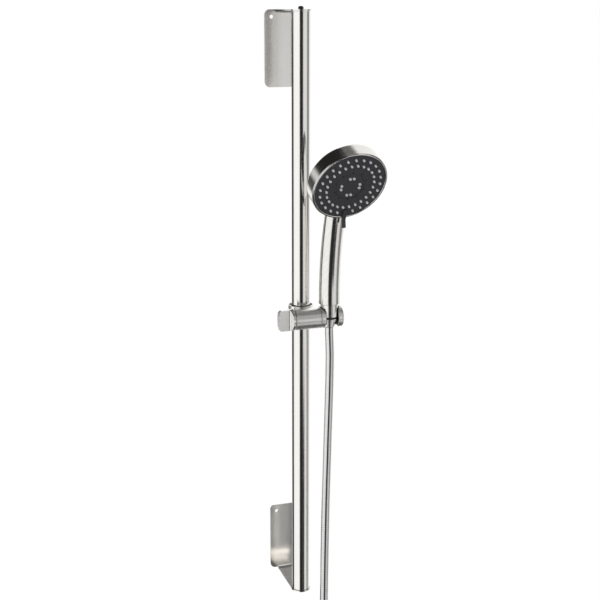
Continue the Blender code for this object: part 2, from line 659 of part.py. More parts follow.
def make_lever(spray, peg, surface):
    """A tab from the face, over the ring, and down in front of the handle."""
    half = LEVER_WIDTH / 2
    start = -36.6
    rim = -HEAD_RADIUS - 0.6
    tilt = math.radians(HEAD_TILT)
    corner = Vector((rim - 0.3, 2.3))
    down = Vector((-math.cos(tilt), math.sin(tilt))) * LEVER_DROP
    back = Vector((-math.sin(tilt), -math.cos(tilt))) * 2.0
    # The side view runs out along the face, then straight down, and up again behind.
    side = [(start, 0.3), (start - 0.8, 2.0), corner, corner + down, corner + down + back, corner + back]
    lever = finish("selector_lever", prism(side, -half, half), spray, surface, turn=(90, 0, 90))
    post = block((-peg, -OUTER_NOZZLE_RING - peg, -2.2), (peg, -OUTER_NOZZLE_RING + peg, 1.0))
    join(lever, finish("lever_peg", post, spray, None))


# ---------------------------------------------------------------- hose


def make_hose_end(end, paint):
    """What swivels inside the nut: the spigot, the black ring and the sleeve crimped on the hose."""
    spigot = [(3.2, -11.0), (4.4, -11.0), (4.4, -1.2), (6.3, -1.2)]
    spigot += [(6.3, 3.1), (9.5, 3.1), (9.5, 5.0), (3.2, 5.0)]
    finish("hose_spigot", turned(spigot, 16), end, paint["brass"])
    finish("swivel_ring", washer(6.7, 11.2, -1.0, 0.5, 28), end, paint["black"])
    sleeve = [(4.7, -13.4), (7.1, -13.4), (7.6, -12.8), (11.2, -1.9), (10.8, -1.5), (4.7, -1.5)]
    finish("hose_sleeve", turned(sleeve, 20), end, paint["brushed"])


def make_hose(hose, tail, paint):
    hose_piece("hose_tube", smooth_route(HOSE_ROUTE, 30.0), hose, paint["steel"])
    thick = HOSE_RADIUS
    ring = washer(COIL_RADIUS - thick, COIL_RADIUS + thick, -COIL_HALF, COIL_HALF, 40)
    finish("hose_coil", ring, hose, paint["steel"], COIL_CENTRE, (90, 0, 0))
    tie_low = (-4.0, COIL_RADIUS - thick - 3, -COIL_HALF - 3)
    tie_high = (4.0, COIL_RADIUS + thick + 3, COIL_HALF + 3)
    hole_high = (6, COIL_RADIUS + thick + GAP, COIL_HALF + GAP)
    tie_hole = block((-6, COIL_RADIUS - thick - 0.9, -COIL_HALF - GAP), hole_high)
    tie = finish("coil_tie", block(tie_low, tie_high), hose, paint["black"], COIL_CENTRE, (90, 0, 0))
    cut(tie, finish("tie_hole", tie_hole, hose, None, COIL_CENTRE, (90, 0, 0)))
    heights = (TAIL_TOP, (TAIL_TOP + TAIL_END) / 2, TAIL_END)
    straight = [(TAIL_X, TAIL_Y, height) for height in heights]
    hose_piece("hose_tail", straight, hose, paint["steel"])
    sleeve = [(4.7, -12.4), (10.8, -12.4), (11.2, -12.0), (7.6, -0.9), (7.1, -0.3), (4.7, -0.3)]
    finish("tail_sleeve", turned(sleeve, 20), tail, paint["brushed"])
    spigot = [(3.2, -17.5), (9.5, -17.5), (9.5, -15.6), (6.3, -15.6)]
    spigot += [(6.3, -12.7), (4.4, -12.7), (4.4, -1.5), (3.2, -1.5)]
    finish("tail_spigot", turned(spigot, 16), tail, paint["brass"])
    nut = [(6.7, -15.2), (10.4, -15.2), (10.4, -29.0), (11.5, -29.0)]
    nut += [(12.0, -28.5), (12.0, -13.5), (11.5, -13.0)]
    finish("wall_nut", turned(nut + [(6.7, -13.0)], 24), tail, paint["polished"])
    finish("wall_washer", washer(5.0, 9.8, -19.8, -17.8, 24), tail, paint["dark rubber"])


# ---------------------------------------------------------------- assembly


def main():
    for old in list(bpy.data.objects):
        bpy.data.objects.remove(old)
    paint = make_materials()
    rail = axis_frame("rail_axis", (0, -RAIL_TO_WALL, -ORIGIN_HEIGHT))
    slider = axis_frame("slider_axis", (0, 0, SLIDER_HEIGHT), parent=rail)
    # The barrel frame's Z runs along the rail's X, so turned pieces lie across the rail.
    barrel = axis_frame("barrel_axis", (0, -BARREL_REACH, 0), (0, 90, 0), slider)
    socket = axis_frame("socket_axis", (SOCKET_X, -BARREL_REACH, 0), parent=slider)
    handset = axis_frame("handset_axis", (0, 0, 0), (0, 0, HANDSET_TURN), socket)
    face = axis_frame("face_axis", (0, -HEAD_REACH, HEAD_HEIGHT), (90 + HEAD_TILT, 0, 0), handset)
    spray = axis_frame("spray_axis", (0, 0, 0), (0, 0, FACE_TURN), face)
    tail = axis_frame("tail_axis", (TAIL_X, TAIL_Y, TAIL_END), parent=rail)
    make_rail(rail, paint)
    make_slider(slider, barrel, paint)
    make_clamp(barrel, paint)
    make_holder(barrel, socket, paint)
    make_handset_shell(handset, face, paint)
    make_water_way(handset, paint)
    make_head(face, spray, paint)
    make_hose_end(handset, paint)
    make_hose(rail, tail, paint)


main()
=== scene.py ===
import json
import math

import bmesh
import bpy
from mathutils import Matrix, Vector


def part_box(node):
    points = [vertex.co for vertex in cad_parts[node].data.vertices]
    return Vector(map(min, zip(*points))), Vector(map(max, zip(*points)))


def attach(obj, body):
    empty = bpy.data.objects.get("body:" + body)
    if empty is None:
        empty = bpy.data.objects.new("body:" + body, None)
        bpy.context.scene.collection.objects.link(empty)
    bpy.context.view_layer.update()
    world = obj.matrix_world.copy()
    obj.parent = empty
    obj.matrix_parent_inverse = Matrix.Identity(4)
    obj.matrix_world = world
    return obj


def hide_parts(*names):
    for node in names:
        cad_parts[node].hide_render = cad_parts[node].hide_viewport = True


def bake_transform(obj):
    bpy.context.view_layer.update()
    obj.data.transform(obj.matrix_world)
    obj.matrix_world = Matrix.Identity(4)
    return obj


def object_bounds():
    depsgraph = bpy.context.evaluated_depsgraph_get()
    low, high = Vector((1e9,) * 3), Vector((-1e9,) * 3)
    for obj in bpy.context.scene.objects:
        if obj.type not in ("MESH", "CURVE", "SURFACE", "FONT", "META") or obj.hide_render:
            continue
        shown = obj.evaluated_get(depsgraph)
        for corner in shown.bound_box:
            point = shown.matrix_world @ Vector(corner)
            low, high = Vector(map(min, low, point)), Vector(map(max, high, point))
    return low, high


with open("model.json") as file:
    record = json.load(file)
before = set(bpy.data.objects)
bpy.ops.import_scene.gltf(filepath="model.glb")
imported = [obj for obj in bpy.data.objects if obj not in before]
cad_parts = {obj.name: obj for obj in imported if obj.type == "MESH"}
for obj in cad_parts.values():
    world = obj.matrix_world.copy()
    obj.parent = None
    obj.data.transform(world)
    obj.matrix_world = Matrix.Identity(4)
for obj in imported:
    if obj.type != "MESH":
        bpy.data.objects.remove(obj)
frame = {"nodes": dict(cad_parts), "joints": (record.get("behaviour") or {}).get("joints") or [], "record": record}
CAD_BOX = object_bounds()

MM = 0.001
GAP = 0.3  # clearance between pieces that touch. Lengths of pieces are in millimetres unless they say metres
FAR = 30  # how far a cutting block reaches past the piece it cuts
ROUND = 96  # steps round the larger turned pieces
FINE = 160
SHARP_ANGLE = 32.0  # degrees, above which an edge stays sharp

# Rail and brackets
RAIL_RADIUS = 12.5
RAIL_WALL = 1.5
RAIL_TO_WALL = 70.0
SHEET = 2.0
PLATE_WIDTH = 50.0
PLATE_HEIGHT = 101.0
PLATE_CORNER = 7.0
PLATE_SHIFT = 2.0
PLATE_HOLE = 2.5
PLATE_HOLE_INSET = 9.5
TONGUE_HALF = 13.5
TONGUE_BASE_HALF = 11.8
BEND_RADIUS = 3.0
BEND_STEM = 8.0  # height of the bend's straight end, which runs into the plate
SCREW_HEAD = 3.6
SCREW_HEAD_HEIGHT = 3.7
SCREW_SHANK = 2.0
SCREW_LENGTH = 16.0
SCREW_HOLE = 2.3
SCREW_KEY = 1.25

# Slider and clamp
BARREL_REACH = 27.0
BARREL_RADIUS = 14.0
BARREL_LEFT = -18.8
BARREL_RIGHT = 15.2
COLLAR_RADIUS = 17.2
COLLAR_HALF = 13.3
COLLAR_BORE = 15.5
WEB_HALF = 12.25
WEB_LEFT = -13.5
BUSH_BORE = 12.8
BUSH_INSET = 0.5
CLAMP_BORE = 9.5
CLAMP_BORE_END = 4.0
BOLT_BORE = 4.0
KNOB_RADIUS = 14.4
KNOB_OUTER = -40.8
KNOB_INNER = -20.0
KNOB_FLAT = 4.0
KNOB_FLAT_END = -26.2
KNOB_SLOPE_END = -22.5
CAM_BORE = 4.9
CAM_BORE_END = -25.7
GRUB_BORE = 1.8
GRUB_PLACE = -22.0

# Holder
HOLDER_LEFT = 15.9
HOLDER_RIGHT = 44.8
CAP_END = 48.0
SOCKET_X = 30.6
SOCKET_TOP_RADIUS = 13.6
SOCKET_BOTTOM_RADIUS = 13.0
SOCKET_WALL_RADIUS = 15.8
SOCKET_LOW = -12.5
SOCKET_HIGH = 13.0
LINER_WALL = 0.8
SLOT_WIDTH = 18.2
SLOT_DEPTH = 5.0  # from the socket's axis to where the slot starts

# Hand shower
HANDSET_TURN = 5.0
HANDLE_BOTTOM = 18.6
HANDLE_RADIUS = 14.15
HANDLE_BORE = 11.6
NECK_BORE = 8.5
BEND_START = 30.0
BEND_HEIGHT = 121.5
BEND_REACH = 11.5
HEAD_TILT = 30.0
HEAD_RADIUS = 50.8
HEAD_DEPTH = 21.5
HEAD_BACK = 33.0
HEAD_CROWN = 2.6  # power of the curve from the band to the middle of the back
BAND_DEPTH = 14.0  # how far behind the depth of the head its brushed finish can reach
BAND_EDGE = 2.2
NUT_BORE = 6.7
NUT_SEAT = 10.5
RING_OUTER = 49.7
RING_INNER = 47.7
FACE_RADIUS = 47.4
FACE_TOP = -0.4
FACE_BACK = -2.4
FACE_TURN = 3.3
MAT_INNER = 24.0
MAT_OUTER = 45.5
OUTER_NOZZLE_RING = 41.0
INNER_NOZZLE_RING = 32.3
NOZZLE_COUNT = 24
NOZZLE_RADIUS = 1.5
NOZZLE_HEIGHT = 2.0
NOZZLE_BORE = 0.42
INSERT_RADIUS = 19.0
SMALL_HOLE_RING = 21.2
SMALL_HOLE_COUNT = 10
SMALL_HOLE_RADIUS = 0.9
MIST_RING = 12.5
MIST_STEP = 2.65
MIST_HEIGHT = 1.6
LEVER_START = -36.6
LEVER_WIDTH = 5.0
LEVER_DROP = 10.6
PEG_HALF = 1.3

# Hose
HOSE_RADIUS = 6.0
HOSE_PITCH = 3.4
HOSE_GROOVE = 0.6
HOSE_SIDES = 20
RIB_STEPS = 6  # rings of the hose's mesh along one rib
SLEEVE_BORE = 4.7
SLEEVE_NARROW = 7.1
SLEEVE_WIDE = 11.2
COIL_RADIUS = 70.0
COIL_CENTRE = Vector((28.0, -32.0, -169.0))
COIL_TURNS = 2
TURN_STEP = 12.0  # from one turn of the coil to the next
TAIL_END = -234.0
CROSSING_TOP = -20.0  # where the hose starts to move over to the coil's right side
CROSSING_RUN = 135.0
CROSSING_STEPS = 16
TURN_STEPS = 36  # points round one turn of the coil
TAIL_LAST = -218.0
TIE_HALF = 18.0
WALL_NUT_RADIUS = 12.0
WALL_NUT_BORE = 10.4
GRIP_COUNT = 24
GRIP_DEPTH = 0.28  # half of the wall nut's knurl
HOSE_ROUTE = (
    (30.6, -27.0, 386.8),
    (30.6, -27.0, 381.9),
    (30.8, -27.0, 376.0),
    (31.3, -27.0, 366.0),
    (31.9, -26.9, 346.0),
    (31.8, -26.5, 316.0),
    (31.3, -25.5, 276.0),
    (30.6, -24.4, 236.0),
    (30.1, -23.2, 196.0),
    (29.3, -22.0, 146.0),
    (28.8, -21.0, 96.0),
    (28.4, -20.3, 46.0),
    (28.0, -20.0, -4.0),
)


# ---------------------------------------------------------------- frames
# Each frame turns a piece's own millimetres into the scene's metres. TILT and FACE are in metres.

joints = {joint["name"]: joint for joint in frame["joints"]}
rail_low, rail_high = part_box("rail_tube")
rail_centre = (rail_low + rail_high) / 2
RAIL_LENGTH = (rail_high.z - rail_low.z) / MM + 2 * GAP
TILT = Vector(joints["holder_tilt"]["pos_m"])
FACE = Vector(joints["spray_select"]["pos_m"])


def turn(degrees, axis):
    return Matrix.Rotation(math.radians(degrees), 4, axis)


def shift(x, y, z):
    return Matrix.Translation((x, y, z))


MILLIMETRES = Matrix.Scale(MM, 4)
RAIL = shift(rail_centre.x, rail_centre.y, rail_low.z - GAP * MM) @ MILLIMETRES
RAIL_TOP = RAIL @ shift(0, 0, RAIL_LENGTH) @ turn(180, "Y")
SLIDER = shift(rail_centre.x, rail_centre.y, TILT.z) @ MILLIMETRES
BARREL = shift(rail_centre.x, TILT.y, TILT.z) @ turn(90, "Y") @ MILLIMETRES
SOCKET = shift(*TILT) @ MILLIMETRES
HANDSET = SOCKET @ turn(HANDSET_TURN, "Z")
HEAD = shift(*FACE) @ turn(HANDSET_TURN, "Z") @ turn(90 + HEAD_TILT, "X") @ MILLIMETRES
SPRAY = HEAD @ turn(FACE_TURN, "Z")
TAIL = RAIL @ shift(COIL_CENTRE.x + COIL_RADIUS, COIL_CENTRE.y - TURN_STEP, TAIL_END)
UPRIGHT = Matrix.Identity(4)


# ---------------------------------------------------------------- camera and light

EYE = Vector((-0.5050, -1.4633, 0.796))  # metres from the lower end of the rail's axis
CAMERA_TURN = -19.0
CAMERA_PITCH = 76.33
LENS = 71.34


def make_camera():
    data = bpy.data.cameras.new("camera")
    data.lens = LENS
    data.sensor_width = 36.0
    data.clip_end = 50.0
    camera = bpy.data.objects.new("camera", data)
    camera.location = EYE + Vector((rail_centre.x, rail_centre.y, rail_low.z - GAP * MM))
    camera.rotation_euler = (math.radians(CAMERA_PITCH), 0, math.radians(CAMERA_TURN))
    bpy.context.scene.collection.objects.link(camera)
    bpy.context.scene.camera = camera


def ramp_of(tree, stops):
    """A ramp through (place, brightness) stops."""
    node = tree.nodes.new("ShaderNodeValToRGB")
    elements = node.color_ramp.elements
    while len(elements) < len(stops):
        elements.new(0.5)
    for element, (place, value) in zip(elements, stops):
        element.position = place
        element.color = (value, value, value, 1.0)
    return node


# Brightness of the studio round the object. Degrees to the right of the camera's side.
STUDIO_BANDS = (
    (-180, 1.15),
    (-146, 1.10),
    (-138, 0.10),
    (-101, 0.04),
    (-93, 1.10),
    (-60, 1.18),
    (-17, 1.14),
    (-10, 0.03),
    (23, 0.025),
    (30, 0.80),
    (50, 0.90),
    (74, 0.84),
    (82, 0.30),
    (106, 0.24),
    (118, 1.00),
    (180, 1.15),
)
# Flags and cards in the studio: left, right, low and high edge, softness in degrees, then brightness.
STUDIO_CARDS = (
    (-150, -48, 28, 70, 12, 0.02),
    (-126, -98, 6, 12, 7, 0.75),
    (24, 46, -36, -20, 4, 0.06),
    (26, 48, 6, 34, 4, 0.30),
    (-40, 110, 44, 80, 8, 0.16),
)
STUDIO_LOW = -46.0
STUDIO_HIGH = 56.0
STUDIO_SOFT = 8.0
STUDIO_FLOOR = (0.075, 0.072, 0.07)
STUDIO_CEILING = (0.17, 0.17, 0.165)


def share_between(tree, value, start, end):
    """0 where an angle is at the start, 1 at the end, both in degrees."""
    share = tree.nodes.new("ShaderNodeMapRange")
    tree.links.new(value, share.inputs["Value"])
    share.inputs["From Min"].default_value = math.radians(start)
    share.inputs["From Max"].default_value = math.radians(end)
    return share.outputs[0]


def studio_card(tree, colour, around, rise, card):
    """One soft-edged rectangle of the studio in a brightness of its own."""
    left, right, low, high, soft, value = card
    edges = [share_between(tree, around, left - soft, left), share_between(tree, around, right + soft, right)]
    edges += [share_between(tree, rise, low - soft, low), share_between(tree, rise, high + soft, high)]
    inside = edges[0]
    for edge in edges[1:]:
        both = tree.nodes.new("ShaderNodeMath")
        both.operation = "MULTIPLY"
        tree.links.new(inside, both.inputs[0])
        tree.links.new(edge, both.inputs[1])
        inside = both.outputs[0]
    mixed = tree.nodes.new("ShaderNodeMix")
    mixed.data_type = "RGBA"
    tree.links.new(inside, mixed.inputs["Factor"])
    tree.links.new(colour, mixed.inputs["A"])
    mixed.inputs["B"].default_value = (value, value, value, 1.0)
    return mixed.outputs["Result"]


def studio_angles(tree):
    """A direction's angle round the object and its rise, as two values in radians."""
    link = tree.links.new
    place = tree.nodes.new("ShaderNodeTexCoord")
    side = math.radians(CAMERA_TURN)
    axes = (Vector((math.sin(side), -math.cos(side), 0)), Vector((math.cos(side), math.sin(side), 0)))
    dots = []
    for axis in axes:
        dot = tree.nodes.new("ShaderNodeVectorMath")
        dot.operation = "DOT_PRODUCT"
        link(place.outputs["Generated"], dot.inputs[0])
        dot.inputs[1].default_value = axis
        dots.append(dot.outputs["Value"])
    around = tree.nodes.new("ShaderNodeMath")
    around.operation = "ARCTAN2"
    link(dots[1], around.inputs[0])
    link(dots[0], around.inputs[1])
    parts = tree.nodes.new("ShaderNodeSeparateXYZ")
    link(place.outputs["Generated"], parts.inputs[0])
    rise = tree.nodes.new("ShaderNodeMath")
    rise.operation = "ARCSINE"
    link(parts.outputs["Z"], rise.inputs[0])
    return around.outputs[0], rise.outputs[0]


def make_world():
    world = bpy.data.worlds.new("studio")
    bpy.context.scene.world = world
    world.use_nodes = True
    tree = world.node_tree
    tree.nodes.clear()
    link = tree.links.new
    around, rise = studio_angles(tree)
    bands = ramp_of(tree, [(degrees / 360 + 0.5, value) for degrees, value in STUDIO_BANDS])
    link(share_between(tree, around, -180, 180), bands.inputs[0])
    colour = bands.outputs["Color"]
    below = (STUDIO_LOW, STUDIO_LOW - STUDIO_SOFT, STUDIO_FLOOR)
    above = (STUDIO_HIGH, STUDIO_HIGH + STUDIO_SOFT, STUDIO_CEILING)
    for start, end, shade in (below, above):
        mixed = tree.nodes.new("ShaderNodeMix")
        mixed.data_type = "RGBA"
        link(share_between(tree, rise, start, end), mixed.inputs["Factor"])
        link(colour, mixed.inputs["A"])
        mixed.inputs["B"].default_value = (*shade, 1.0)
        colour = mixed.outputs["Result"]
    for card in STUDIO_CARDS:
        colour = studio_card(tree, colour, around, rise, card)
    light = tree.nodes.new("ShaderNodeBackground")
    link(colour, light.inputs["Color"])
    seen = tree.nodes.new("ShaderNodeBackground")
    seen.inputs["Color"].default_value = (1, 1, 1, 1)
    rays = tree.nodes.new("ShaderNodeLightPath")
    choice = tree.nodes.new("ShaderNodeMixShader")
    link(rays.outputs["Is Camera Ray"], choice.inputs[0])
    link(light.outputs[0], choice.inputs[1])
    link(seen.outputs[0], choice.inputs[2])
    out = tree.nodes.new("ShaderNodeOutputWorld")
    link(choice.outputs[0], out.inputs["Surface"])


FLOOR_DROP = 0.5  # metres below the lowest point at rest, because the hose comes down with the slider
FLOOR_HALF = 12.0  # metres
FLOOR_GLOW = 0.97


def make_floor():
    shape = bmesh.new()
    bmesh.ops.create_grid(shape, x_segments=1, y_segments=1, size=FLOOR_HALF)
    mesh = bpy.data.meshes.new("floor")
    shape.to_mesh(mesh)
    shape.free()
    floor = bpy.data.objects.new("floor", mesh)
    floor.location = (0, 0, CAD_BOX[0].z - FLOOR_DROP)
    bpy.context.scene.collection.objects.link(floor)
    made = bpy.data.materials.new("pale floor")
    made.use_nodes = True
    shader = made.node_tree.nodes["Principled BSDF"]
    shader.inputs["Base Color"].default_value = (0.1, 0.1, 0.1, 1)
    shader.inputs["Roughness"].default_value = 1.0
    shader.inputs["Specular IOR Level"].default_value = 0.0
    shader.inputs["Emission Color"].default_value = (1, 1, 1, 1)
    shader.inputs["Emission Strength"].default_value = FLOOR_GLOW
    mesh.materials.append(made)
    floor.visible_glossy = False


def make_light(name, place, aim, size, power, colour=(1, 1, 1), mirrored=False):
    data = bpy.data.lights.new(name, "AREA")
    data.shape = "RECTANGLE"
    data.size, data.size_y = size
    data.energy = power
    lamp = bpy.data.objects.new(name, data)
    lamp.location = place
    lamp.rotation_euler = (Vector(aim) - Vector(place)).to_track_quat("-Z", "Y").to_euler()
    lamp.visible_camera = False
    lamp.visible_glossy = mirrored
    data.color = colour
    bpy.context.scene.collection.objects.link(lamp)


# The lamps' place, aim, size and power, in metres and watts.
LAMP_AIM = (0, -0.1, 0.35)
LAMPS = {
    "key": ((-1.6, -2.2, 1.6), LAMP_AIM, (1.4, 1.4), 26.0),
    "fill": ((1.8, -1.6, 1.0), LAMP_AIM, (1.2, 1.6), 12.0),
}
# A small warm lamp behind the rail's lower end, which the wall plate mirrors, in the rail's millimetres.
GLOW_PLACE = Vector((1.0, 28.0, 5.0))
GLOW_AIM = Vector((-5.0, 68.0, 5.0))
GLOW_SIZE = (0.034, 0.008)
GLOW_POWER = 0.0010
GLOW_COLOUR = (1.0, 0.94, 0.87)


def make_lights():
    for name, settings in LAMPS.items():
        make_light(name, *settings)
    place, aim = RAIL @ GLOW_PLACE, RAIL @ GLOW_AIM
    make_light("plate_glow", place, aim, GLOW_SIZE, GLOW_POWER, GLOW_COLOUR, mirrored=True)


# ---------------------------------------------------------------- materials

GRAIN_DETAIL = 4.0
BUMP_STRENGTH = 0.6
CLOUD_STRETCH = (0.03, 0.03, 0.03)
CLOUD_DETAIL = 2.0


def grain_coordinates(tree, frame_matrix, stretch):
    """Object coordinates turned into a piece's own frame, then scaled for a directional grain."""
    place = tree.nodes.new("ShaderNodeTexCoord")
    turned_place = tree.nodes.new("ShaderNodeMapping")
    turned_place.inputs["Rotation"].default_value = frame_matrix.to_3x3().normalized().inverted().to_euler()
    tree.links.new(place.outputs["Object"], turned_place.inputs["Vector"])
    scaled = tree.nodes.new("ShaderNodeMapping")
    scaled.inputs["Scale"].default_value = [1000.0 * value for value in stretch]
    tree.links.new(turned_place.outputs["Vector"], scaled.inputs["Vector"])
    return scaled.outputs["Vector"]


def noise_of(tree, coordinates, scale, detail):
    noise = tree.nodes.new("ShaderNodeTexNoise")
    noise.inputs["Scale"].default_value = scale
    noise.inputs["Detail"].default_value = detail
    tree.links.new(coordinates, noise.inputs["Vector"])
    return noise.outputs["Fac"]


def spread_of(tree, value, low, high):
    spread = tree.nodes.new("ShaderNodeMapRange")
    spread.inputs["From Min"].default_value = 0.3
    spread.inputs["From Max"].default_value = 0.7
    spread.inputs["To Min"].default_value = low
    spread.inputs["To Max"].default_value = high
    tree.links.new(value, spread.inputs["Value"])
    return spread.outputs[0]


def surface(name, colour, roughness, metallic=0.0, frame_matrix=UPRIGHT, stretch=(1, 1, 1), scale=1.0,
            variation=0.06, spread=0.05, relief=0.004, cloud=0.0):
    """A material whose colour, roughness and fine relief follow one grain, fine along the large stretch."""
    made = bpy.data.materials.new(name)
    made.use_nodes = True
    tree = made.node_tree
    shader = tree.nodes["Principled BSDF"]
    shader.inputs["Metallic"].default_value = metallic
    coordinates = grain_coordinates(tree, frame_matrix, stretch)
    grain = noise_of(tree, coordinates, scale, GRAIN_DETAIL)
    tone = tree.nodes.new("ShaderNodeMix")
    tone.data_type = "RGBA"
    tone.inputs["A"].default_value = (*[c * (1 - variation) for c in colour], 1.0)
    tone.inputs["B"].default_value = (*[min(1.0, c * (1 + variation)) for c in colour], 1.0)
    tree.links.new(spread_of(tree, grain, 0.0, 1.0), tone.inputs["Factor"])
    shade = tone.outputs["Result"]
    if cloud:
        wide = noise_of(tree, grain_coordinates(tree, frame_matrix, CLOUD_STRETCH), 1.0, CLOUD_DETAIL)
        dulled = tree.nodes.new("ShaderNodeMix")
        dulled.data_type = "RGBA"
        dulled.blend_type = "MULTIPLY"
        dulled.inputs["B"].default_value = (1 - cloud, 1 - cloud * 1.05, 1 - cloud * 1.15, 1.0)
        tree.links.new(spread_of(tree, wide, 0.0, 1.0), dulled.inputs["Factor"])
        tree.links.new(shade, dulled.inputs["A"])
        shade = dulled.outputs["Result"]
    tree.links.new(shade, shader.inputs["Base Color"])
    rough = spread_of(tree, grain, max(0.02, roughness - spread), roughness + spread)
    tree.links.new(rough, shader.inputs["Roughness"])
    bump = tree.nodes.new("ShaderNodeBump")
    bump.inputs["Strength"].default_value = BUMP_STRENGTH
    bump.inputs["Distance"].default_value = relief * MM
    tree.links.new(grain, bump.inputs["Height"])
    tree.links.new(bump.outputs["Normal"], shader.inputs["Normal"])
    return made


NICKEL = (0.80, 0.79, 0.765)
LONG_GRAIN = (3.0, 3.0, 0.05)
ROUND_GRAIN = (0.08, 0.08, 4.0)
FLAT_GRAIN = (0.06, 3.0, 3.0)


def make_materials():
    return {
        "rail": surface("satin nickel tube", NICKEL, 0.13, 1.0, RAIL, LONG_GRAIN, relief=0.002,
                        variation=0.03),
        "plate": surface("satin nickel sheet", (0.80, 0.785, 0.765), 0.22, 1.0, RAIL, FLAT_GRAIN,
                         relief=0.001, variation=0.03, spread=0.03, cloud=0.04),
        "barrel": surface("brushed nickel barrel", (0.93, 0.915, 0.89), 0.33, 1.0, BARREL, ROUND_GRAIN,
                          relief=0.0, variation=0.02, spread=0.01),
        "collar": surface("brushed nickel collar", (0.84, 0.83, 0.81), 0.24, 1.0, RAIL, ROUND_GRAIN,
                          relief=0.006, variation=0.08),
        "handle": surface("satin nickel handle", NICKEL, 0.13, 1.0, HANDSET, LONG_GRAIN, relief=0.002,
                          variation=0.03),
        "head": surface("brushed nickel band", (0.76, 0.74, 0.71), 0.15, 1.0, HEAD, (0.05, 0.05, 3.0),
                        relief=0.006, variation=0.10),
        "nut": surface("brushed nickel nut", (0.78, 0.765, 0.74), 0.20, 1.0, HANDSET, ROUND_GRAIN,
                       relief=0.006, variation=0.08),
        "lip": surface("polished nickel", (0.86, 0.855, 0.84), 0.10, 1.0, HEAD, (0.2, 0.2, 2.0), relief=0.001,
                       variation=0.03, spread=0.03),
        "cap": surface("polished nickel cap", (0.84, 0.83, 0.81), 0.12, 1.0, BARREL, (0.2, 0.2, 2.0),
                       relief=0.001, variation=0.03, spread=0.03),
        "hose": surface("stainless hose", (0.66, 0.66, 0.655), 0.12, 1.0, UPRIGHT, (0.6, 0.6, 0.6),
                        relief=0.003, variation=0.10),
        "steel": surface("stainless steel", (0.66, 0.66, 0.65), 0.25, 1.0, UPRIGHT, (1, 1, 1), relief=0.002),
        "black steel": surface("black oxide steel", (0.030, 0.030, 0.032), 0.35, 0.7, UPRIGHT, (1, 1, 1),
                               variation=0.3, relief=0.01),
        "brass": surface("brass", (0.72, 0.53, 0.25), 0.28, 1.0, HANDSET, ROUND_GRAIN, variation=0.10),
        "black": surface("black plastic", (0.016, 0.016, 0.017), 0.42, 0.0, UPRIGHT, (1, 1, 1), scale=1.5,
                         variation=0.3, relief=0.03),
        "charcoal": surface("charcoal plastic", (0.022, 0.022, 0.025), 0.55, 0.0, SPRAY, (1, 1, 1), scale=1.8,
                            variation=0.25, spread=0.08, relief=0.05),
        "white": surface("white plastic", (0.78, 0.78, 0.76), 0.42, 0.0, UPRIGHT, (1, 1, 1), variation=0.03,
                         relief=0.02),
        "rubber": surface("grey rubber", (0.48, 0.48, 0.49), 0.62, 0.0, SPRAY, (1, 1, 1), scale=1.2,
                          variation=0.10, relief=0.04),
        "dark rubber": surface("dark rubber", (0.035, 0.035, 0.036), 0.72, 0.0, UPRIGHT, (1, 1, 1), scale=1.2,
                               variation=0.2, relief=0.05),
    }


SLOT_PAINT = {
    "satin_nickel": "rail",
    "brushed_nickel": "barrel",
    "polished_nickel": "cap",
    "hose_steel": "hose",
    "steel": "steel",
    "black_steel": "black steel",
    "brass": "brass",
    "black_plastic": "black",
    "charcoal_plastic": "charcoal",
    "white_plastic": "white",
    "grey_rubber": "rubber",
    "dark_rubber": "dark rubber",
}


# ---------------------------------------------------------------- shapes


def rounded(points, radius, steps=4, close=False):
    """The outline with each of its own corners rounded. Ends of an open outline stay."""
    out = []
    count = len(points)
    for number, point in enumerate(points):
        if not close and number in (0, count - 1):
            out.append(tuple(point))
            continue
        here = Vector(point)
        before = Vector(points[number - 1]) - here
        after = Vector(points[(number + 1) % count]) - here
        reach = min(radius, before.length * 0.45, after.length * 0.45)
        start, end = here + before.normalized() * reach, here + after.normalized() * reach
        for step in range(steps + 1):
            t = step / steps
            out.append(tuple(start * (1 - t) ** 2 + here * 2 * t * (1 - t) + end * t**2))
    return out


def turned(profile, steps=ROUND, ripple=None):
    """Spins (radius, height) points round Z. A profile that leaves the axis free closes on itself."""
    shape = bmesh.new()
    rings = []
    for radius, height in profile:
        ring = []
        for step in range(1 if radius < 1e-6 else steps):
            angle = math.tau * step / steps
            reach = radius + (ripple(angle, radius, height) if ripple and radius > 1e-6 else 0)
            ring.append(shape.verts.new((reach * math.cos(angle), reach * math.sin(angle), height)))
        rings.append(ring)
    pairs = list(zip(rings, rings[1:]))
    if profile[0][0] > 1e-6 and profile[-1][0] > 1e-6:
        pairs.append((rings[-1], rings[0]))
    for low, high in pairs:
        wide = low if len(low) > 1 else high
        if len(low) != len(high) and abs(low[0].co.z - high[0].co.z) < 1e-6:
            shape.faces.new(wide)
            continue
        for step in range(steps):
            after = (step + 1) % steps
            corners = [low[step % len(low)], low[after % len(low)]]
            corners += [high[after % len(high)], high[step % len(high)]]
            shape.faces.new(list(dict.fromkeys(corners)))
    loose = [vertex for vertex in shape.verts if not vertex.link_faces]
    bmesh.ops.delete(shape, geom=loose, context="VERTS")
    return shape


def rod(radius, low, high, steps=ROUND, edge=0.0):
    profile = [(0, low), (radius, low), (radius, high), (0, high)]
    return turned(rounded(profile, edge) if edge else profile, steps)


def washer(inner, outer, low, high, steps=ROUND, edge=0.0):
    profile = [(inner, low), (outer, low), (outer, high), (inner, high)]
    return turned(rounded(profile, edge, 3, True) if edge else profile, steps)


def prism(outline, low, high):
    shape = bmesh.new()
    face = shape.faces.new([shape.verts.new((x, y, low)) for x, y in outline])
    raised = bmesh.ops.extrude_face_region(shape, geom=[face])["geom"]
    moved = [item for item in raised if isinstance(item, bmesh.types.BMVert)]
    bmesh.ops.translate(shape, vec=(0, 0, high - low), verts=moved)
    return shape


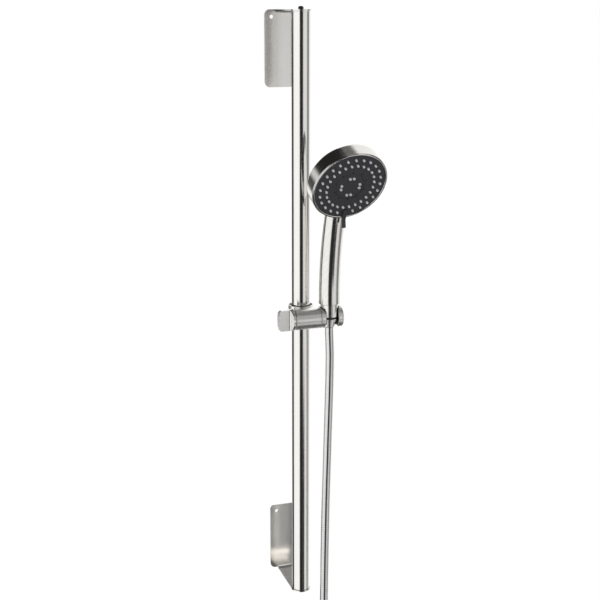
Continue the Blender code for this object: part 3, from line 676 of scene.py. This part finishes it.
def block(low, high):
    shape = bmesh.new()
    bmesh.ops.create_cube(shape, size=1.0)
    bmesh.ops.scale(shape, vec=[b - a for a, b in zip(low, high)], verts=shape.verts)
    bmesh.ops.translate(shape, vec=[(a + b) / 2 for a, b in zip(low, high)], verts=shape.verts)
    return shape


def arc(centre_x, centre_y, radius, start, end, steps):
    angles = [math.radians(start + (end - start) * step / steps) for step in range(steps + 1)]
    return [(centre_x + radius * math.cos(a), centre_y + radius * math.sin(a)) for a in angles]


def rounded_plate(left, right, low, high, radius, steps=12):
    corners = arc(right - radius, low + radius, radius, -90, 0, steps)
    corners += arc(right - radius, high - radius, radius, 0, 90, steps)
    corners += arc(left + radius, high - radius, radius, 90, 180, steps)
    corners += arc(left + radius, low + radius, radius, 180, 270, steps)
    return corners


def lofted(sections, steps=ROUND):
    shape = bmesh.new()
    rings = []
    for y, z, lean, radius in sections:
        tilt = math.radians(lean)
        ring = []
        for step in range(steps):
            angle = math.tau * step / steps
            across, along = radius * math.cos(angle), radius * math.sin(angle)
            ring.append(shape.verts.new((across, y + along * math.cos(tilt), z + along * math.sin(tilt))))
        rings.append(ring)
    for low, high in zip(rings, rings[1:]):
        for step in range(steps):
            after = (step + 1) % steps
            shape.faces.new([low[step], low[after], high[after], high[step]])
    shape.faces.new(rings[0])
    shape.faces.new(rings[-1])
    return shape


def posts(places, profile, steps=16):
    """One turned post at each place, all in one mesh."""
    shape = bmesh.new()
    angles = [math.tau * step / steps for step in range(steps)]
    for x, y in places:
        rings = []
        for radius, height in profile:
            spots = [(x + radius * math.cos(a), y + radius * math.sin(a), height) for a in angles]
            rings.append([shape.verts.new(spot) for spot in spots])
        for low, high in zip(rings, rings[1:]):
            for step in range(steps):
                after = (step + 1) % steps
                shape.faces.new([low[step], low[after], high[after], high[step]])
        shape.faces.new(rings[0])
        shape.faces.new(rings[-1])
    return shape


def solid(name, shape, matrix):
    """A bmesh in a frame's millimetres as an object in metres."""
    bmesh.ops.transform(shape, matrix=matrix, verts=shape.verts)
    bmesh.ops.recalc_face_normals(shape, faces=shape.faces)
    mesh = bpy.data.meshes.new(name)
    shape.to_mesh(mesh)
    shape.free()
    made = bpy.data.objects.new(name, mesh)
    bpy.context.scene.collection.objects.link(made)
    return made


def combine(target, operation, others, solver="EXACT"):
    """Adds or cuts the other solids and removes them."""
    for number, other in enumerate(others):
        step = target.modifiers.new(f"{operation} {number}", "BOOLEAN")
        step.operation = operation
        step.solver = solver
        step.object = other
    graph = bpy.context.evaluated_depsgraph_get()
    mesh = bpy.data.meshes.new_from_object(target.evaluated_get(graph))
    target.modifiers.clear()
    target.data = mesh
    for other in others:
        bpy.data.objects.remove(other)
    return target


def dress(made, paint, body, nodes, edge=0.0):
    """Material, shading, body and replaced nodes of a piece."""
    mesh = made.data
    mesh.materials.clear()
    mesh.materials.append(paint)
    mesh.shade_smooth()
    mesh.set_sharp_from_angle(angle=math.radians(SHARP_ANGLE))
    if edge:
        soft = made.modifiers.new("edge", "BEVEL")
        soft.width = edge * MM
        soft.segments = 2
        soft.limit_method = "ANGLE"
        soft.angle_limit = math.radians(SHARP_ANGLE)
        soft.use_clamp_overlap = True
    even = made.modifiers.new("even", "WEIGHTED_NORMAL")
    even.keep_sharp = True
    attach(made, body)
    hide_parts(*nodes)
    return made


# ---------------------------------------------------------------- rail and brackets


def make_bracket(side, matrix, low_corner, paint):
    wall = RAIL_TO_WALL
    left, right = PLATE_SHIFT - PLATE_WIDTH / 2, PLATE_SHIFT + PLATE_WIDTH / 2
    top = PLATE_HEIGHT - SHEET
    stand = matrix @ turn(-90, "X")  # the plate's own axes are then X, -Z and Y of the rail
    outline = [(x, -z) for x, z in rounded_plate(left, right, low_corner, top, PLATE_CORNER)]
    bracket = solid(side + "_bracket_sheet", prism(outline, wall - SHEET, wall), stand)
    base, inner = TONGUE_BASE_HALF, wall - SHEET - BEND_RADIUS
    tongue_outline = [(base, inner + 0.4), (-base, inner + 0.4)]
    tongue_outline += arc(0, 0, TONGUE_HALF, 180, 360, 48)
    tongue = solid("tongue", prism(tongue_outline, -SHEET, 0), matrix)
    bend = arc(inner, BEND_RADIUS, BEND_RADIUS, -90, 0, 10) + [(wall - SHEET, BEND_STEM), (wall, BEND_STEM)]
    bend += arc(inner, BEND_RADIUS, BEND_RADIUS + SHEET, 0, -90, 12)
    bent = solid("bend", prism(bend, -base, base), matrix @ turn(90, "Z") @ turn(90, "X"))
    combine(bracket, "UNION", [bent, tongue])
    inset = PLATE_HOLE_INSET
    cutters = []
    for x, z in ((left + inset, top - inset), (right - inset, inset - SHEET)):
        place = matrix @ shift(x, wall - SHEET / 2, z) @ turn(90, "X")
        cutters.append(solid("hole", rod(PLATE_HOLE, -5, 5, 40), place))
    cutters.append(solid("hole", rod(SCREW_HOLE, -5, 5, 32), matrix))
    combine(bracket, "DIFFERENCE", cutters)
    dress(bracket, paint["plate"], "wall_rail", [side + "_bracket"], edge=0.35)


def make_rail_screw(side, matrix, paint):
    head, low = SCREW_HEAD, -SHEET - GAP
    top, shank, end = low - SCREW_HEAD_HEIGHT, SCREW_SHANK, SCREW_LENGTH
    profile = [(0, top), (head * 0.55, top), (head * 0.85, low - 2.9), (head, low - 1.4), (head, low)]
    profile += [(shank, low), (shank, end - 1.0), (shank - 0.6, end), (0, end)]
    screw = solid(side + "_screw", turned(rounded(profile, 0.5), 48), matrix)
    combine(screw, "DIFFERENCE", [solid("key", rod(SCREW_KEY, low - 6, low - 1.9, 6), matrix)])
    dress(screw, paint["black steel"], "wall_rail", [side + "_rail_screw"])


def make_rail(paint):
    tube = washer(RAIL_RADIUS - RAIL_WALL, RAIL_RADIUS, GAP, RAIL_LENGTH - GAP, FINE, 0.35)
    dress(solid("rail", tube, RAIL), paint["rail"], "wall_rail", ["rail_tube"])
    for side, matrix, low_corner in (("lower", RAIL, 1.0), ("upper", RAIL_TOP, -SHEET)):
        make_bracket(side, matrix, low_corner, paint)
        make_rail_screw(side, matrix, paint)


# ---------------------------------------------------------------- slider and clamp


def make_slider(paint):
    body = solid("slider_body", rod(BARREL_RADIUS, BARREL_LEFT, BARREL_RIGHT, ROUND, 0.4), BARREL)
    collar = solid("collar", rod(COLLAR_RADIUS, -COLLAR_HALF, COLLAR_HALF, FINE, 0.5), SLIDER)
    web = solid("web", block((WEB_LEFT, -BARREL_REACH, -WEB_HALF), (BARREL_RIGHT - 0.4, 0, WEB_HALF)), SLIDER)
    combine(body, "UNION", [collar, web])
    bores = [solid("bore", rod(COLLAR_BORE, -25, 25, FINE), SLIDER)]
    bores.append(solid("bore", rod(CLAMP_BORE, BARREL_LEFT - 2, CLAMP_BORE_END, 64), BARREL))
    bores.append(solid("bore", rod(BOLT_BORE, 0, BARREL_RIGHT + 2, 48), BARREL))
    window = block((-8.8, -BARREL_REACH + 6, -5.0), (-1.2, -14, 5.0))
    bores.append(solid("bore", window, SLIDER))
    combine(body, "DIFFERENCE", bores)
    dress(body, paint["barrel"], "slider", ["slider_housing"])
    outer, top = COLLAR_BORE - GAP, COLLAR_HALF - BUSH_INSET
    profile = [(BUSH_BORE, -top), (outer, -top), (outer, top), (BUSH_BORE, top)]
    bush = solid("slider_bush_ring", turned(rounded(profile, 0.25, 3, True), FINE), SLIDER)
    dress(bush, paint["black"], "slider", ["rail_bush"])


def make_clamp(paint):
    outer, inner, radius = KNOB_OUTER, KNOB_INNER, KNOB_RADIUS
    dome = [(0, outer), (8.0, outer + 0.2), (12.4, outer + 0.8), (radius, outer + 2.6)]
    dome += [(radius, inner - 0.5), (radius - 0.5, inner), (0, inner)]
    knob = solid("paddle_knob", turned(rounded(dome, 1.0), ROUND), BARREL)
    flat_end, slope_end, far = KNOB_FLAT_END, KNOB_SLOPE_END, radius + 2
    cutters = []
    stand = shift(BARREL.translation.x, TILT.y, TILT.z) @ MILLIMETRES
    for side in (-1, 1):
        face = side * KNOB_FLAT
        outline = [(-45, face), (flat_end - 0.8, face), (flat_end + 0.2, face + side * 0.35)]
        outline += [(flat_end + 0.8, face + side * 1.1), (slope_end, side * far), (-45, side * far)]
        cutters.append(solid("flat", prism(outline, -20, 20), stand))
    cutters.append(solid("neck", rod(CAM_BORE, CAM_BORE_END, inner + 1, 48), BARREL))
    across = BARREL @ shift(0, 0, GRUB_PLACE) @ turn(90, "Y")
    cutters.append(solid("grub", rod(GRUB_BORE, CAM_BORE - 1, 16, 32), across))
    combine(knob, "DIFFERENCE", cutters)
    dress(knob, paint["collar"], "clamp", ["clamp_knob"], edge=0.35)


# ---------------------------------------------------------------- holder


def make_holder(paint):
    body = solid("holder_body", rod(BARREL_RADIUS, HOLDER_LEFT, HOLDER_RIGHT, ROUND, 0.4), BARREL)
    wall = solid("wall", rod(SOCKET_WALL_RADIUS, SOCKET_LOW, SOCKET_HIGH, FINE, 0.3), SOCKET)
    left, right = HOLDER_LEFT + 0.4 - SOCKET_X, HOLDER_RIGHT - 0.4 - SOCKET_X
    trims = [solid("trim", block((-FAR, -FAR, -FAR), (FAR, -3, FAR)), SOCKET)]
    trims.append(solid("trim", block((-FAR, -FAR, -FAR), (left, FAR, FAR)), SOCKET))
    trims.append(solid("trim", block((right, -FAR, -FAR), (FAR, FAR, FAR)), SOCKET))
    combine(wall, "DIFFERENCE", trims)
    combine(body, "UNION", [wall])
    hole = [(0, -20), (SOCKET_BOTTOM_RADIUS, -20), (SOCKET_BOTTOM_RADIUS, SOCKET_LOW)]
    hole += [(SOCKET_TOP_RADIUS, SOCKET_HIGH), (SOCKET_TOP_RADIUS, 20), (0, 20)]
    cutters = [solid("bore", turned(hole, FINE), SOCKET)]
    slot = block((-SLOT_WIDTH / 2, -FAR, -FAR), (SLOT_WIDTH / 2, -SLOT_DEPTH, FAR))
    cutters.append(solid("slot", slot, SOCKET))
    cutters.append(solid("bolt", rod(BOLT_BORE, HOLDER_LEFT - 1, HOLDER_LEFT + 3, 48), BARREL))
    combine(body, "DIFFERENCE", cutters)
    dress(body, paint["barrel"], "holder", ["holder_socket"])
    foot, rim = SOCKET_BOTTOM_RADIUS - GAP, SOCKET_TOP_RADIUS - GAP
    skin = [(foot - LINER_WALL, SOCKET_LOW), (foot, SOCKET_LOW)]
    skin += [(rim, SOCKET_HIGH), (rim - LINER_WALL, SOCKET_HIGH)]
    liner = solid("socket_liner", turned(rounded(skin, 0.2, 3, True), FINE), SOCKET)
    gap = block((-SLOT_WIDTH / 2 - 0.5, -FAR, -FAR), (SLOT_WIDTH / 2 + 0.5, -SLOT_DEPTH, FAR))
    combine(liner, "DIFFERENCE", [solid("gap", gap, SOCKET)])
    dress(liner, paint["black"], "holder", ["holder_liner"])
    start = HOLDER_RIGHT + GAP
    profile = [(0, start), (BARREL_RADIUS - 0.4, start), (BARREL_RADIUS, start + 0.4)]
    profile += [(BARREL_RADIUS, CAP_END - 1.8), (BARREL_RADIUS - 1.2, CAP_END - 0.8), (8.0, CAP_END - 0.2)]
    cap = solid("end_cap", turned(rounded(profile + [(0, CAP_END)], 0.6), ROUND), BARREL)
    dress(cap, paint["cap"], "holder", ["holder_cap"])


# ---------------------------------------------------------------- hand shower


def handle_past(height):
    return max(0.0, height - BEND_START) / (BEND_HEIGHT - BEND_START)


def handle_sections(heights, radius):
    sections = []
    for height in heights:
        past = handle_past(height)
        lean = math.degrees(math.atan(2 * BEND_REACH * past / (BEND_HEIGHT - BEND_START)))
        sections.append((-BEND_REACH * past**2, height, -lean, radius))
    return sections


def head_outline():
    edge, back = HEAD_RADIUS, -HEAD_DEPTH
    outline = [(0, -0.7), (edge - 0.5, -0.7), (edge, -1.2), (edge, back + 3.0), (edge - 0.5, back + 1.2)]
    outline += [(edge - 1.8, back)]
    rise = HEAD_BACK - HEAD_DEPTH
    shares = [0.96 - 0.04 * step for step in range(24)]
    outline += [((edge - 1.8) * share, back - rise * (1 - share**HEAD_CROWN)) for share in shares]
    return outline + [(0, -HEAD_BACK)]


def head_hollow():
    inner, back = RING_INNER - 0.2, -HEAD_DEPTH
    rise = HEAD_BACK - HEAD_DEPTH
    hollow = [(0, 5), (RING_OUTER + GAP, 5), (RING_OUTER + GAP, -5.3), (inner, -5.3), (inner, back + 1.5)]
    for share in (0.8, 0.6, 0.4, 0.2, 0.0):
        hollow.append((inner * share, back + 1.5 - (rise - 0.5) * (1 - share**HEAD_CROWN)))
    return hollow


def make_shell(paint):
    heights = [HANDLE_BOTTOM, HANDLE_BOTTOM + 0.4, *range(20, 157, 4)]
    sections = handle_sections(heights, HANDLE_RADIUS)
    sections[0] = (*sections[0][:3], HANDLE_RADIUS - 0.4)
    shell = solid("hand_shower_shell", lofted(sections, ROUND), HANDSET)
    bowl = solid("bowl", turned(head_outline(), FINE), HEAD)
    combine(shell, "UNION", [bowl])
    bore = handle_sections([HANDLE_BOTTOM - 2, *range(30, 125, 10), 124], HANDLE_BORE)
    bore += handle_sections((128, 140, 152), NECK_BORE)
    hollow = solid("hollow", turned(head_hollow(), FINE), HEAD)
    combine(shell, "DIFFERENCE", [hollow, solid("bore", lofted(bore, 48), HANDSET)])
    dress(shell, paint["handle"], "handset", ["handset_shell"])
    shell.data.materials.append(paint["head"])
    inverse = HEAD.inverted()
    for face in shell.data.polygons:
        spot = inverse @ face.center
        if spot.z > -HEAD_DEPTH - BAND_DEPTH and math.hypot(spot.x, spot.y) > HEAD_RADIUS - BAND_EDGE:
            face.material_index = 1


def make_ring(paint):
    profile = [(RING_INNER, -5.0), (RING_OUTER, -5.0), (RING_OUTER, -0.6), (RING_OUTER - 0.6, 0.0)]
    profile += [(RING_INNER + 0.4, 0.0), (RING_INNER, -0.4)]
    ring = solid("head_lip", turned(rounded(profile, 0.3, 3, True), FINE), HEAD)
    dress(ring, paint["lip"], "handset", ["head_ring"])


def make_nut(paint):
    top = HANDLE_BOTTOM - 0.2
    profile = [(NUT_BORE, 0.8), (11.0, 0.8), (11.5, 1.3), (12.2, top - 0.5), (11.9, top)]
    profile += [(NUT_SEAT, top), (NUT_SEAT, 2.8), (NUT_BORE, 2.8)]
    nut = solid("cone_nut", turned(rounded(profile, 0.35, 3, True), ROUND), HANDSET)
    dress(nut, paint["nut"], "handset", ["hose_nut"])


def ring_places(radius, count, phase, skipped=()):
    angles = [math.tau * (step + phase) / count - math.pi / 2 for step in range(count) if step not in skipped]
    return [(radius * math.cos(a), radius * math.sin(a)) for a in angles]


def make_face(paint):
    outer = ring_places(OUTER_NOZZLE_RING, NOZZLE_COUNT, 0, skipped=(0,))
    inner = ring_places(INNER_NOZZLE_RING, NOZZLE_COUNT, 0.5)
    nozzles = outer + inner
    bore, low, top = INSERT_RADIUS + GAP, FACE_BACK, FACE_TOP
    rim = [(bore, low), (FACE_RADIUS, low), (FACE_RADIUS, top - 0.5), (FACE_RADIUS - 0.7, top), (bore, top)]
    plate = solid("spray_face_plate", turned(rim, FINE), SPRAY)
    hole = NOZZLE_RADIUS + GAP
    holes = posts(nozzles, [(hole, -5), (hole, -0.7), (hole + 0.4, -0.3), (hole + 0.4, 3)], 20)
    pricks = ring_places(SMALL_HOLE_RING, SMALL_HOLE_COUNT, 0)
    small = posts(pricks, [(SMALL_HOLE_RADIUS, -5), (SMALL_HOLE_RADIUS, 3)])
    peg, reach = PEG_HALF + GAP, OUTER_NOZZLE_RING
    slot = block((-peg, -reach - peg, -5), (peg, -reach + peg, 5))
    cutters = [solid("holes", holes, SPRAY), solid("small", small, SPRAY), solid("slot", slot, SPRAY)]
    combine(plate, "DIFFERENCE", cutters, "MANIFOLD")
    dress(plate, paint["charcoal"], "spray_face", ["face_plate"])
    mat = solid("nozzle_mat_rubber", washer(MAT_INNER, MAT_OUTER, -4.2, FACE_BACK - GAP, FINE), SPRAY)
    tip, high = NOZZLE_RADIUS, NOZZLE_HEIGHT
    nub = [(tip, -3.5), (tip, 0.6), (tip * 0.92, high - 0.5), (tip * 0.75, high - 0.1), (tip * 0.5, high)]
    combine(mat, "UNION", [solid("nubs", posts(nozzles, nub, 16), SPRAY)], "MANIFOLD")
    bores = posts(nozzles, [(NOZZLE_BORE, 0.8), (NOZZLE_BORE, high + 1)], 10)
    combine(mat, "DIFFERENCE", [solid("bores", bores, SPRAY)], "MANIFOLD")
    dress(mat, paint["rubber"], "spray_face", ["nozzle_mat"])
    make_insert(paint)


def make_insert(paint):
    edge = INSERT_RADIUS
    profile = [(0, FACE_BACK), (edge, FACE_BACK), (edge, -0.7), (edge - 0.5, -0.3), (0, -0.3)]
    insert = solid("mist_centre", turned(profile, ROUND), SPRAY)
    dress(insert, paint["charcoal"], "spray_face", ["mist_insert"])
    places = []
    for quarter in range(4):
        angle = math.tau * quarter / 4
        for step in (-MIST_STEP, MIST_STEP):
            places.append((MIST_RING * math.cos(angle) + step * math.sin(angle),
                           MIST_RING * math.sin(angle) - step * math.cos(angle)))
    high = MIST_HEIGHT
    eyelet = [(1.7, -1.2), (1.7, 0.5), (1.6, high - 0.3), (1.35, high)]
    eyelet += [(0.95, high), (0.75, high - 0.4), (0.7, 0.4)]
    tips = solid("mist_tips", posts(places, eyelet), SPRAY)
    dress(tips, paint["rubber"], "spray_face", ["mist_insert"])


def make_lever(paint):
    half, start, rim = LEVER_WIDTH / 2, LEVER_START, -HEAD_RADIUS - 0.6
    tilt = math.radians(HEAD_TILT)
    corner = Vector((rim - 0.3, 2.3))
    down = Vector((-math.cos(tilt), math.sin(tilt))) * LEVER_DROP
    back = Vector((-math.sin(tilt), -math.cos(tilt))) * 2.0
    side = [(start, 0.3), (start - 0.8, 2.0), corner, corner + down, corner + down + back, corner + back]
    side = rounded([tuple(point) for point in side], 0.7, 4, True)
    lever = solid("selector_tab", prism(side, -half, half), SPRAY @ turn(90, "Z") @ turn(90, "X"))
    peg, reach = PEG_HALF, OUTER_NOZZLE_RING
    post = solid("peg", block((-peg, -reach - peg, -2.2), (peg, -reach + peg, 1.0)), SPRAY)
    combine(lever, "UNION", [post])
    dress(lever, paint["charcoal"], "spray_face", ["selector_lever"], edge=0.4)


# ---------------------------------------------------------------- hose


def smooth_route(points, spacing):
    """Points about this far apart on a smooth curve through the route's own points."""
    knots = [Vector(point) for point in points]
    knots = [2 * knots[0] - knots[1], *knots, 2 * knots[-1] - knots[-2]]
    route = []
    for a, b, c, d in zip(knots, knots[1:], knots[2:], knots[3:]):
        count = max(1, round((c - b).length / spacing))
        for step in range(count):
            t = step / count
            bend = 2 * b + (c - a) * t + (2 * a - 5 * b + 4 * c - d) * t**2 + (3 * b - a - 3 * c + d) * t**3
            route.append(bend / 2)
    route.append(knots[-2])
    return route


def hose_route():
    """The visible stretch, the crossing to the coil's right side, the coil's turns and the tail."""
    points = list(HOSE_ROUTE)
    x, y = points[-1][:2]
    for step in range(CROSSING_STEPS + 1):
        share = step / CROSSING_STEPS
        across = COIL_RADIUS * (1 - math.cos(math.pi * share)) / 2
        points.append((x + across, y, CROSSING_TOP - CROSSING_RUN * share))
    steps = TURN_STEPS * COIL_TURNS
    for step in range(steps + 1):
        angle = -math.tau * COIL_TURNS * step / steps
        deep = y - TURN_STEP * COIL_TURNS * step / steps
        height = COIL_CENTRE.z + COIL_RADIUS * math.sin(angle)
        points.append((x + COIL_RADIUS * math.cos(angle), deep, height))
    deep = y - TURN_STEP * COIL_TURNS
    heights = (COIL_CENTRE.z - 14, COIL_CENTRE.z - 32, TAIL_LAST, TAIL_END)
    points += [(x + COIL_RADIUS, deep, height) for height in heights]
    return points


def even_points(route, spacing):
    """The route again at even steps of its length."""
    lengths = [0.0]
    for a, b in zip(route, route[1:]):
        lengths.append(lengths[-1] + (b - a).length)
    count = round(lengths[-1] / spacing)
    points, index = [], 0
    for step in range(count + 1):
        goal = lengths[-1] * step / count
        while index < len(lengths) - 2 and lengths[index + 1] < goal:
            index += 1
        part = (goal - lengths[index]) / (lengths[index + 1] - lengths[index])
        points.append(route[index].lerp(route[index + 1], part))
    return points, lengths[-1]


def spiral_tube(points, length, sides=HOSE_SIDES):
    """A tube of wound steel strip: a rounded rib that runs round it as a screw thread."""
    shape = bmesh.new()
    across = Vector((1, 0, 0))
    rings = []
    spacing = length / (len(points) - 1)
    for number, point in enumerate(points):
        ahead = points[min(number + 1, len(points) - 1)] - points[max(number - 1, 0)]
        ahead.normalize()
        across = (across - ahead * across.dot(ahead)).normalized()
        other = ahead.cross(across)
        ring = []
        for side in range(sides):
            angle = math.tau * side / sides
            phase = (number * spacing / HOSE_PITCH - side / sides) % 1.0
            rib = math.sin(math.pi * phase) ** 0.5
            radius = HOSE_RADIUS - HOSE_GROOVE * (1 - rib)
            outward = across * math.cos(angle) + other * math.sin(angle)
            ring.append(shape.verts.new(point + radius * outward))
        rings.append(ring)
    for low, high in zip(rings, rings[1:]):
        for side in range(sides):
            after = (side + 1) % sides
            shape.faces.new([low[side], low[after], high[after], high[side]])
    shape.faces.new(rings[0])
    shape.faces.new(rings[-1])
    return shape


def make_hose(paint):
    route = smooth_route(hose_route(), 4.0)
    points, length = even_points(route, HOSE_PITCH / RIB_STEPS)
    hose = solid("spiral_hose", spiral_tube(points, length), RAIL)
    mesh = hose.data
    mesh.materials.append(paint["hose"])
    mesh.shade_smooth()
    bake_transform(hose)
    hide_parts("hose_tube", "hose_coil", "hose_tail")
    pieces = [make_coil_tie(paint), make_tail_sleeve(paint), make_wall_nut(paint)]
    pieces += [frame["nodes"]["tail_spigot"], frame["nodes"]["wall_washer"]]


def make_coil_tie(paint):
    """A flat strap round the coil's top, with a buckle."""
    centre = RAIL @ Matrix.Translation(COIL_CENTRE) @ turn(90, "X")
    thick, half = HOSE_RADIUS, TIE_HALF
    low, high = COIL_RADIUS - thick - 1.6, COIL_RADIUS + thick + 1.0
    outer = rounded_plate(-half - 1.6, half + 1.6, low - 1.0, high + 1.0, 4.0)
    inner = rounded_plate(-half - 0.5, half + 0.5, low, high, 3.0)
    strap = solid("tie_strap", prism(outer, -3.0, 3.0), centre @ turn(-90, "Y"))
    hole = solid("hole", prism(inner, -5.0, 5.0), centre @ turn(-90, "Y"))
    combine(strap, "DIFFERENCE", [hole])
    buckle = block((-3.8, high, -5.0), (3.8, high + 3.0, 5.0))
    combine(strap, "UNION", [solid("buckle", buckle, centre)])
    return dress(strap, paint["black"], "hose", ["coil_tie"], edge=0.3)


def make_hose_end(paint):
    # The black ring between the cone nut and the crimp sleeve is a swivel washer and also painted shade: its black
    # stands for the shadow in the gap between nut and sleeve.
    ring = solid("swivel_ring_and_painted_gap_shade", washer(NUT_BORE, SLEEVE_WIDE, -1.0, 0.5, ROUND, 0.3), HANDSET)
    dress(ring, paint["black"], "hose_end", ["swivel_ring"])
    bore, narrow, wide = SLEEVE_BORE, SLEEVE_NARROW, SLEEVE_WIDE
    profile = [(bore, -13.4), (narrow, -13.4), (narrow + 0.5, -12.8)]
    profile += [(wide, -1.9), (wide - 0.4, -1.5), (bore, -1.5)]
    sleeve = solid("crimp_sleeve", turned(rounded(profile, 0.4, 3, True), ROUND), HANDSET)
    dress(sleeve, paint["nut"], "hose_end", ["hose_sleeve"])


def make_tail_sleeve(paint):
    bore, narrow, wide = SLEEVE_BORE, SLEEVE_NARROW, SLEEVE_WIDE
    profile = [(bore, -12.4), (wide - 0.4, -12.4), (wide, -12.0)]
    profile += [(narrow + 0.5, -0.9), (narrow, -0.3), (bore, -0.3)]
    sleeve = solid("tail_crimp_sleeve", turned(rounded(profile, 0.4, 3, True), ROUND), TAIL)
    return dress(sleeve, paint["nut"], "hose", ["tail_sleeve"])


def make_wall_nut(paint):
    def grip(angle, radius, height):
        knurled = radius > 11.4 and -27.5 < height < -14.5
        return GRIP_DEPTH * (math.cos(GRIP_COUNT * angle) - 1) if knurled else 0.0

    bore, edge = WALL_NUT_BORE, WALL_NUT_RADIUS
    profile = [(NUT_BORE, -15.2), (bore, -15.2), (bore, -29.0), (11.3, -29.0), (11.8, -28.6)]
    profile += [(edge, height) for height in (-28.0, -27.6, -27.3, -14.8, -14.4, -13.8)]
    profile += [(11.6, -13.1), (11.2, -13.0), (NUT_BORE, -13.0)]
    nut = solid("knurled_wall_nut", turned(profile, 192, grip), TAIL)
    return dress(nut, paint["cap"], "wall_nut", ["wall_nut"])


# ---------------------------------------------------------------- assembly


def paint_cad_nodes(paint):
    slots = {part["node"]: part["material_slot"] for part in frame["record"]["subparts"]}
    for name, node in frame["nodes"].items():
        node.data.materials.clear()
        node.data.materials.append(paint[SLOT_PAINT[slots[name]]])


def main():
    bpy.context.scene.view_settings.view_transform = "Standard"
    make_camera()
    make_world()
    make_floor()
    make_lights()
    paint = make_materials()
    paint_cad_nodes(paint)
    make_hose(paint)
    make_hose_end(paint)
    make_rail(paint)
    make_slider(paint)
    make_clamp(paint)
    make_holder(paint)
    make_shell(paint)
    make_ring(paint)
    make_nut(paint)
    make_face(paint)
    make_lever(paint)


main()
